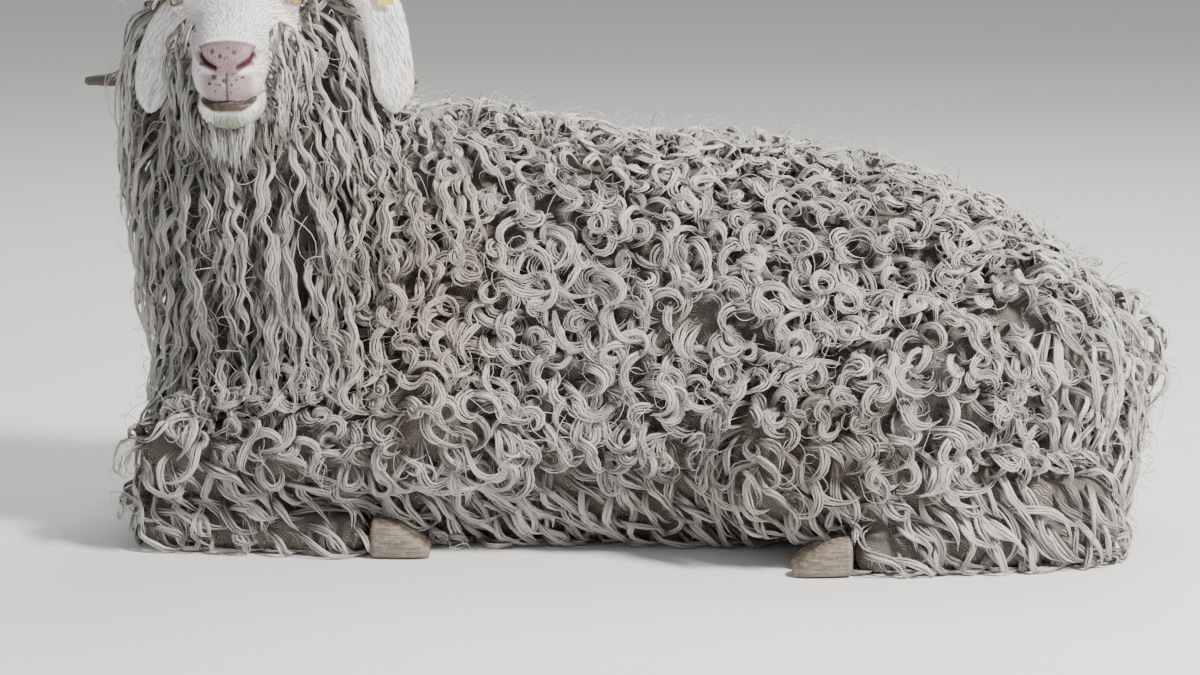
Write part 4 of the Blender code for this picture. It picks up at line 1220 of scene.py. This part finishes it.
def thinOut(places, spacing):
    # keeps places that lie at least the spacing apart
    grid, kept = {}, []
    near = [(i, j, k) for i in (-1, 0, 1) for j in (-1, 0, 1) for k in (-1, 0, 1)]
    cells = np.floor(places / spacing).astype(int).tolist()
    spots = places.tolist()
    limit = spacing * spacing
    for i, (x, y, z) in enumerate(cells):
        px, py, pz = spots[i]
        close = any(
            (px - qx) ** 2 + (py - qy) ** 2 + (pz - qz) ** 2 < limit
            for dx, dy, dz in near
            for qx, qy, qz in grid.get((x + dx, y + dy, z + dz), ())
        )
        if not close:
            grid.setdefault((x, y, z), []).append(spots[i])
            kept.append(i)
    return np.array(kept, int)


def bakeSpot(points):
    # where a root lies on an unwrap of the skin: round the trunk's long axis, and round the neck's own
    x, y, z = points.T
    neck = z > 0.30 + 0.9 * (x + 0.16)
    trunkAngle = (np.arctan2(y, z - 0.13) / (2 * math.pi)) % 1.0
    neckAngle = (np.arctan2(y, x + 0.36) / (2 * math.pi)) % 1.0
    u = np.where(neck, 0.01 + 0.97 * neckAngle, 0.01 + 0.97 * (x + 0.52) / 1.05)
    v = np.where(neck, 0.64 + 0.35 * (z - 0.15) / 0.47, 0.01 + 0.60 * trunkAngle)
    return np.column_stack([np.clip(u, 0.004, 0.994), np.clip(v, 0.004, 0.994)])


def lockPaths(places, normals, name, tree, facings, draw):
    # the centre line of every lock, laid along the skin step by step at its own height
    kind = lockKinds[name]
    n, m = len(places), kind["rings"]
    length = draw.uniform(*kind["length"], n)
    # longer and shorter locks come in patches
    length *= 1 + 0.13 * np.sin(places @ (31, 17, 23)) + 0.10 * np.sin(places @ (-19, 44, 37) + 2)
    s = np.linspace(0, 1, m)
    hand = draw.choice([-1.0, 1.0], n)
    turn = np.radians(draw.uniform(*kind["turn"], n)) * hand
    start = np.radians(kind["spread"]) * draw.uniform(-1, 1, n)
    waves = 2 * math.pi * s * (length / kind["pitch"])[:, None] + draw.uniform(0, 2 * math.pi, (n, 1))
    curled = np.clip((s - 0.10) / 0.90, 0, 1) ** draw.uniform(1.0, 1.9, (n, 1))
    heading = start[:, None] + turn[:, None] * (curled - 0.33)
    heading += math.radians(kind["swing"]) * np.sin(waves) * smoothStep(0.05, 0.25, s)
    low, high = kind["lift"]
    topShare = draw.random(n) ** 0.8
    top = low + (high - low) * topShare
    sunk = min(coat["sunk"], low)
    height = -sunk + (top + sunk)[:, None] * smoothStep(0.0, 0.30, s)
    height += kind["cork"] * np.cos(waves) * smoothStep(0.15, 0.35, s)
    height -= (0.30 * top * draw.random(n))[:, None] * smoothStep(0.75, 1.0, s)
    sideways = np.where(places[:, 1] + draw.normal(0, 0.035, n) > 0, 1.0, -1.0)
    spot, facing = places.copy(), normals.copy()
    path, grounds = np.empty((2, n, m, 3))
    for j in range(m):
        if j:
            lie = lieOf(spot, facing, name, sideways)
            side = np.cross(facing, lie)
            step = np.cos(heading[:, j - 1, None]) * lie + np.sin(heading[:, j - 1, None]) * side
            probe = path[:, j - 1] + step * (length / (m - 1))[:, None]
            for i in range(n):
                spot[i], _, index, _ = tree.find_nearest(Vector(probe[i]))
                facing[i] = facings[index]
            outside = ((probe - spot) * facing).sum(axis=1)
            reach = np.clip(outside, height[:, j], height[:, j] + kind["hang"])
        else:
            reach = height[:, 0]
        path[:, j] = spot + facing * reach[:, None]
        grounds[:, j] = facing
    for _ in range(2):
        path[:, 1:-1] = 0.5 * path[:, 1:-1] + 0.25 * (path[:, :-2] + path[:, 2:])
        grounds[:, 1:-1] = unit(grounds[:, 1:-1] + 0.5 * (grounds[:, :-2] + grounds[:, 2:]))
    path[..., 2] = np.maximum(path[..., 2], coat["offFloor"])
    return path, grounds, length, topShare


def keepsClear(path, draw):
    # false for a lock that runs into an ear, a horn or the tag, or hangs before the near ear or an eye
    trees = {}
    for name in ("earLeft", "earRight", "hornLeft", "hornRight", "earTag"):
        mesh = bpy.data.objects[name].data
        trees[name] = BVHTree.FromPolygons(pointsOf(mesh).tolist(), [tuple(p.vertices) for p in mesh.polygons])
    eyes = [np.array(eyeCentre(side)) for side in (1, -1)]
    nearEarX = fromHead(coat["nearEarFrom"], 0, 0).x

    def hides(name, tree, point, veil):
        if tree.find_nearest(point, coat["offHard"])[0] is not None:
            return True
        if name.startswith("horn") or (name == "earRight" and veil):
            return False
        hit = tree.ray_cast(point, Vector((0, 1, 0.1)), 0.06)[0]
        return hit is not None and (name != "earLeft" or hit.x > nearEarX)

    keep = np.ones(len(path), bool)
    for i, line in enumerate(path):
        if np.abs(line[:, 2]).max() < 0.28 or line[:, 0].min() > -0.10:
            continue
        if min(np.linalg.norm(line - eye, axis=1).min() for eye in eyes) < coat["offEye"]:
            keep[i] = False
            continue
        veil = draw.random() < coat["veil"]
        keep[i] = not any(
            hides(name, tree, Vector(point), veil) for name, tree in trees.items() for point in line[1:]
        )
    return keep


def strandArrays(path, grounds, name, topShare, draw):
    # every lock becomes a few tapered strands of triangular section, which part and meet again at the tip
    kind = lockKinds[name]
    n, m, _ = path.shape
    count = kind["strands"]
    lock = np.repeat(np.arange(n), count)
    share = np.tile(np.arange(count) - (count - 1) / 2, n)
    total = len(lock)
    radius = kind["radius"] * draw.uniform(*coat["strandSize"], total)
    s = np.linspace(0, 1, m)
    centre = path[lock]
    ahead = unit(np.gradient(centre, axis=1))
    side = unit(np.cross(grounds[lock], ahead))
    up = unit(np.cross(ahead, side))

    def wobble(reach, least, most):
        return reach * np.sin(s * draw.uniform(least, most, (total, 1)) + draw.uniform(0, 6.3, (total, 1)))

    loose = kind["gap"] * coat["loose"]
    spread = 0.40 + 0.60 * smoothStep(0.0, 0.35, s) - 0.66 * smoothStep(0.55, 1.0, s)
    width = draw.uniform(*coat["lockWidth"], n)[lock] * kind["gap"]
    sideShift = (share * width)[:, None] * spread + wobble(loose, 4, 11)
    upShift = wobble(loose, 4, 10) - (0.00035 * share ** 2)[:, None]
    slide = draw.uniform(-0.5, 0.5, (total, 1, 1)) * coat["slide"] * kind["length"][0]
    centre = centre + side * sideShift[..., None] + up * upShift[..., None] + ahead * slide * s[:, None]
    taper = 0.72 + 0.28 * smoothStep(0, 0.2, s) - 0.86 * smoothStep(0.50, 1.0, s) ** 1.2
    girth = radius[:, None] * taper
    degrees, broad, high = coat["section"]
    angles = np.radians(degrees)[:, None]
    wide, tall = np.cos(angles) * broad, np.sin(angles) * high
    corners = centre[:, :, None] + girth[..., None, None] * (side[:, :, None] * wide + up[:, :, None] * tall)
    corners[..., 2] = np.maximum(corners[..., 2], 0.0008)
    # a lock's tone is part painted shade, darker the lower it lies, and part random
    lockShadeAndTone = 0.65 * topShare + 0.35 * draw.random(n)
    tone = np.clip(lockShadeAndTone[lock] * 0.80 + 0.50 * draw.random(total) - 0.15, 0, 1)
    return corners, tone, lock


def strandPiece(name, corners, tone, spot, length, fair, material):
    # one mesh from arrays: three corners a ring, closed at both ends
    n, m, k, _ = corners.shape
    mesh = bpy.data.meshes.new(name)
    ring = np.arange(m * k).reshape(m, k)
    beside = np.roll(ring, -1, axis=1)
    quads = np.concatenate([
        np.stack([ring[:-1, j], beside[:-1, j], beside[1:, j], ring[1:, j]], axis=1) for j in range(k)
    ])
    caps = np.array([[ring[0, 2], ring[0, 1], ring[0, 0]], [ring[-1, 0], ring[-1, 1], ring[-1, 2]]])
    base = (np.arange(n) * m * k)[:, None, None]
    loops = np.concatenate([(quads[None] + base).reshape(-1), (caps[None] + base).reshape(-1)])
    sizes = np.concatenate([np.full(len(quads) * n, 4), np.full(2 * n, 3)])
    mesh.vertices.add(n * m * k)
    mesh.vertices.foreach_set("co", corners.reshape(-1))
    mesh.loops.add(len(loops))
    mesh.loops.foreach_set("vertex_index", loops)
    mesh.polygons.add(len(sizes))
    mesh.polygons.foreach_set("loop_start", np.concatenate([[0], np.cumsum(sizes)[:-1]]))
    mesh.polygons.foreach_set("loop_total", sizes)
    mesh.update(calc_edges=True)
    along = np.tile(np.repeat(np.linspace(0, 1, m), k), n)
    addMask(mesh, "along", np.maximum(along, 0.6 * (fair > 0)))
    addMask(mesh, "tone", np.maximum(np.repeat(tone, m * k), 0.8 * (fair > 0)))
    addMask(mesh, "fair", np.full(n * m * k, fair))
    across = np.tile(np.tile(np.arange(k) / k, m), n)
    strandUv = np.column_stack([across + np.repeat(tone * 7.0, m * k), along * np.repeat(length, m * k) * 40])
    bakeUv = np.repeat(spot, m * k, axis=0) + 0.003 * np.column_stack([across, along])
    for layerName, values in (("OFBake", bakeUv), ("strand", strandUv)):
        layer = mesh.uv_layers.new(name=layerName)
        layer.data.foreach_set("uv", values[loops].astype(np.float32).ravel())
    finishPiece(addObject(name, mesh), material, None)


def growKind(name, places, normals, tree, facings, material, draw, title=None):
    path, grounds, length, topShare = lockPaths(places, normals, name, tree, facings, draw)
    if name not in ("face", "ear"):
        keep = keepsClear(path, draw)
        path, grounds, length, topShare, places = (a[keep] for a in (path, grounds, length, topShare, places))
    corners, tone, lock = strandArrays(path, grounds, name, topShare, draw)
    spot = bakeSpot(places)[lock]
    trisEach = 6 * (lockKinds[name]["rings"] - 1) + 2
    print("stage:", name, len(places), "locks,", len(corners) * trisEach, "triangles")
    fair = {"face": 1.0, "ear": 1.0, "beard": 0.8, "wisp": 0.3}.get(name, 0.0)
    near = places[lock, 1] < 0
    total = 0
    for side, chosen in (("Near", near), ("Far", ~near)):
        picks = np.flatnonzero(chosen)
        picks = picks[np.argsort(places[lock[picks], 0], kind="stable")]
        if not len(picks):
            continue
        parts = math.ceil(len(picks) * trisEach / coat["pieceLimit"])
        for number, chunk in enumerate(np.array_split(picks, parts)):
            named = f"{title or name}Locks{side}{number + 1}"
            strandPiece(named, corners[chunk], tone[chunk], spot[chunk], length[lock[chunk]], fair, material)
        total += len(picks) * trisEach
    return total


def growCoat(material):
    draw = np.random.default_rng(coat["seed"])
    points, corners, ofHead = outerTriangles(skin.data, bodyCount)
    facings = unit(normalsOf(skin.data)[corners].mean(axis=1))
    tree = BVHTree.FromPolygons(points.tolist(), corners.tolist())
    print("stage: the skin's outer faces are found")
    bodyPlaces, bodyFaces = scatter(points, corners, coat["bodyPicks"], draw)
    headOnly = np.flatnonzero(ofHead)
    headPlaces, headFaces = scatter(points, corners[headOnly], coat["headPicks"], draw)
    headFaces = headOnly[headFaces]
    total = 0
    for title in ("earLeft", "earRight"):
        mesh = bpy.data.objects[title].data
        earPoints, earCorners = pointsOf(mesh), triangleCorners(mesh)
        earFacings = unit(normalsOf(mesh)[earCorners].mean(axis=1))
        earTree = BVHTree.FromPolygons(earPoints.tolist(), earCorners.tolist())
        places, faces = scatter(earPoints, earCorners, coat["earPicks"], draw)
        kept = thinOut(places, lockKinds["ear"]["spacing"])
        grown = places[kept], earFacings[faces[kept]], earTree, earFacings
        total += growKind("ear", *grown, material, draw, title)
    for name in [kind for kind in lockKinds if kind != "ear"]:
        fine = name in ("cheek", "poll", "beard", "face")
        places, faces = (headPlaces, headFaces) if fine else (bodyPlaces, bodyFaces)
        names = kindsAt(places, facings[faces], ofHead[faces])
        chosen = np.isin(names, ("curl", "ringlet", "thigh") if name == "wisp" else name)
        if name == "face":
            bare = np.zeros(len(points))
            bare[bodyCount:] = np.max([faceMasks[mask] for mask in ("nose", "slit", "lip", "rim")], axis=0)
            chosen &= bare[corners[faces]].max(axis=1) < 0.25
        places, faces = places[chosen], faces[chosen]
        kept = thinOut(places, lockKinds[name]["spacing"])
        total += growKind(name, places[kept], facings[faces[kept]], tree, facings, material, draw)
    print("stage: the coat has", total, "triangles")


growCoat(mohairMaterial())
print("stage: the coat is grown")

# floor and light

studio = {
    "floorHalf": 20.0,
    "sky": 0.40,
    "skyColour": (0.97, 0.985, 1.0, 1),
    # place, target, size, watts, colour
    "lights": {
        "keyLight": ((2.1, -1.6, 2.6), (0.0, 0.0, 0.2), 0.55, 275.0, (1.0, 0.97, 0.92)),
        "fillLight": ((-2.4, -2.2, 1.4), (-0.1, 0.0, 0.2), 2.2, 14.0, (0.92, 0.95, 1.0)),
        "topLight": ((0.3, 1.6, 2.8), (0.0, 0.0, 0.2), 1.6, 62.0, (1.0, 0.99, 0.97)),
    },
}

edge = studio["floorHalf"]
floorCorners = np.array([(-edge, -edge, 0), (edge, -edge, 0), (edge, edge, 0), (-edge, edge, 0)])
floorPiece = makePiece("studioFloor", [(floorCorners, [(0, 1, 2, 3)])])
floorPiece.data.materials.append(floorMaterial())

for name, (place, target, size, power, colour) in studio["lights"].items():
    data = bpy.data.lights.new(name, "AREA")
    data.energy, data.size, data.color = power, size, colour
    light = addObject(name, data)
    light.location = place
    light.rotation_euler = (Vector(target) - Vector(place)).to_track_quat("-Z", "Y").to_euler()

sky = bpy.data.worlds.new("studioSky")
sky.use_nodes = True
background = sky.node_tree.nodes["Background"]
background.inputs["Color"].default_value = studio["skyColour"]
background.inputs["Strength"].default_value = studio["sky"]
bpy.context.scene.world = sky
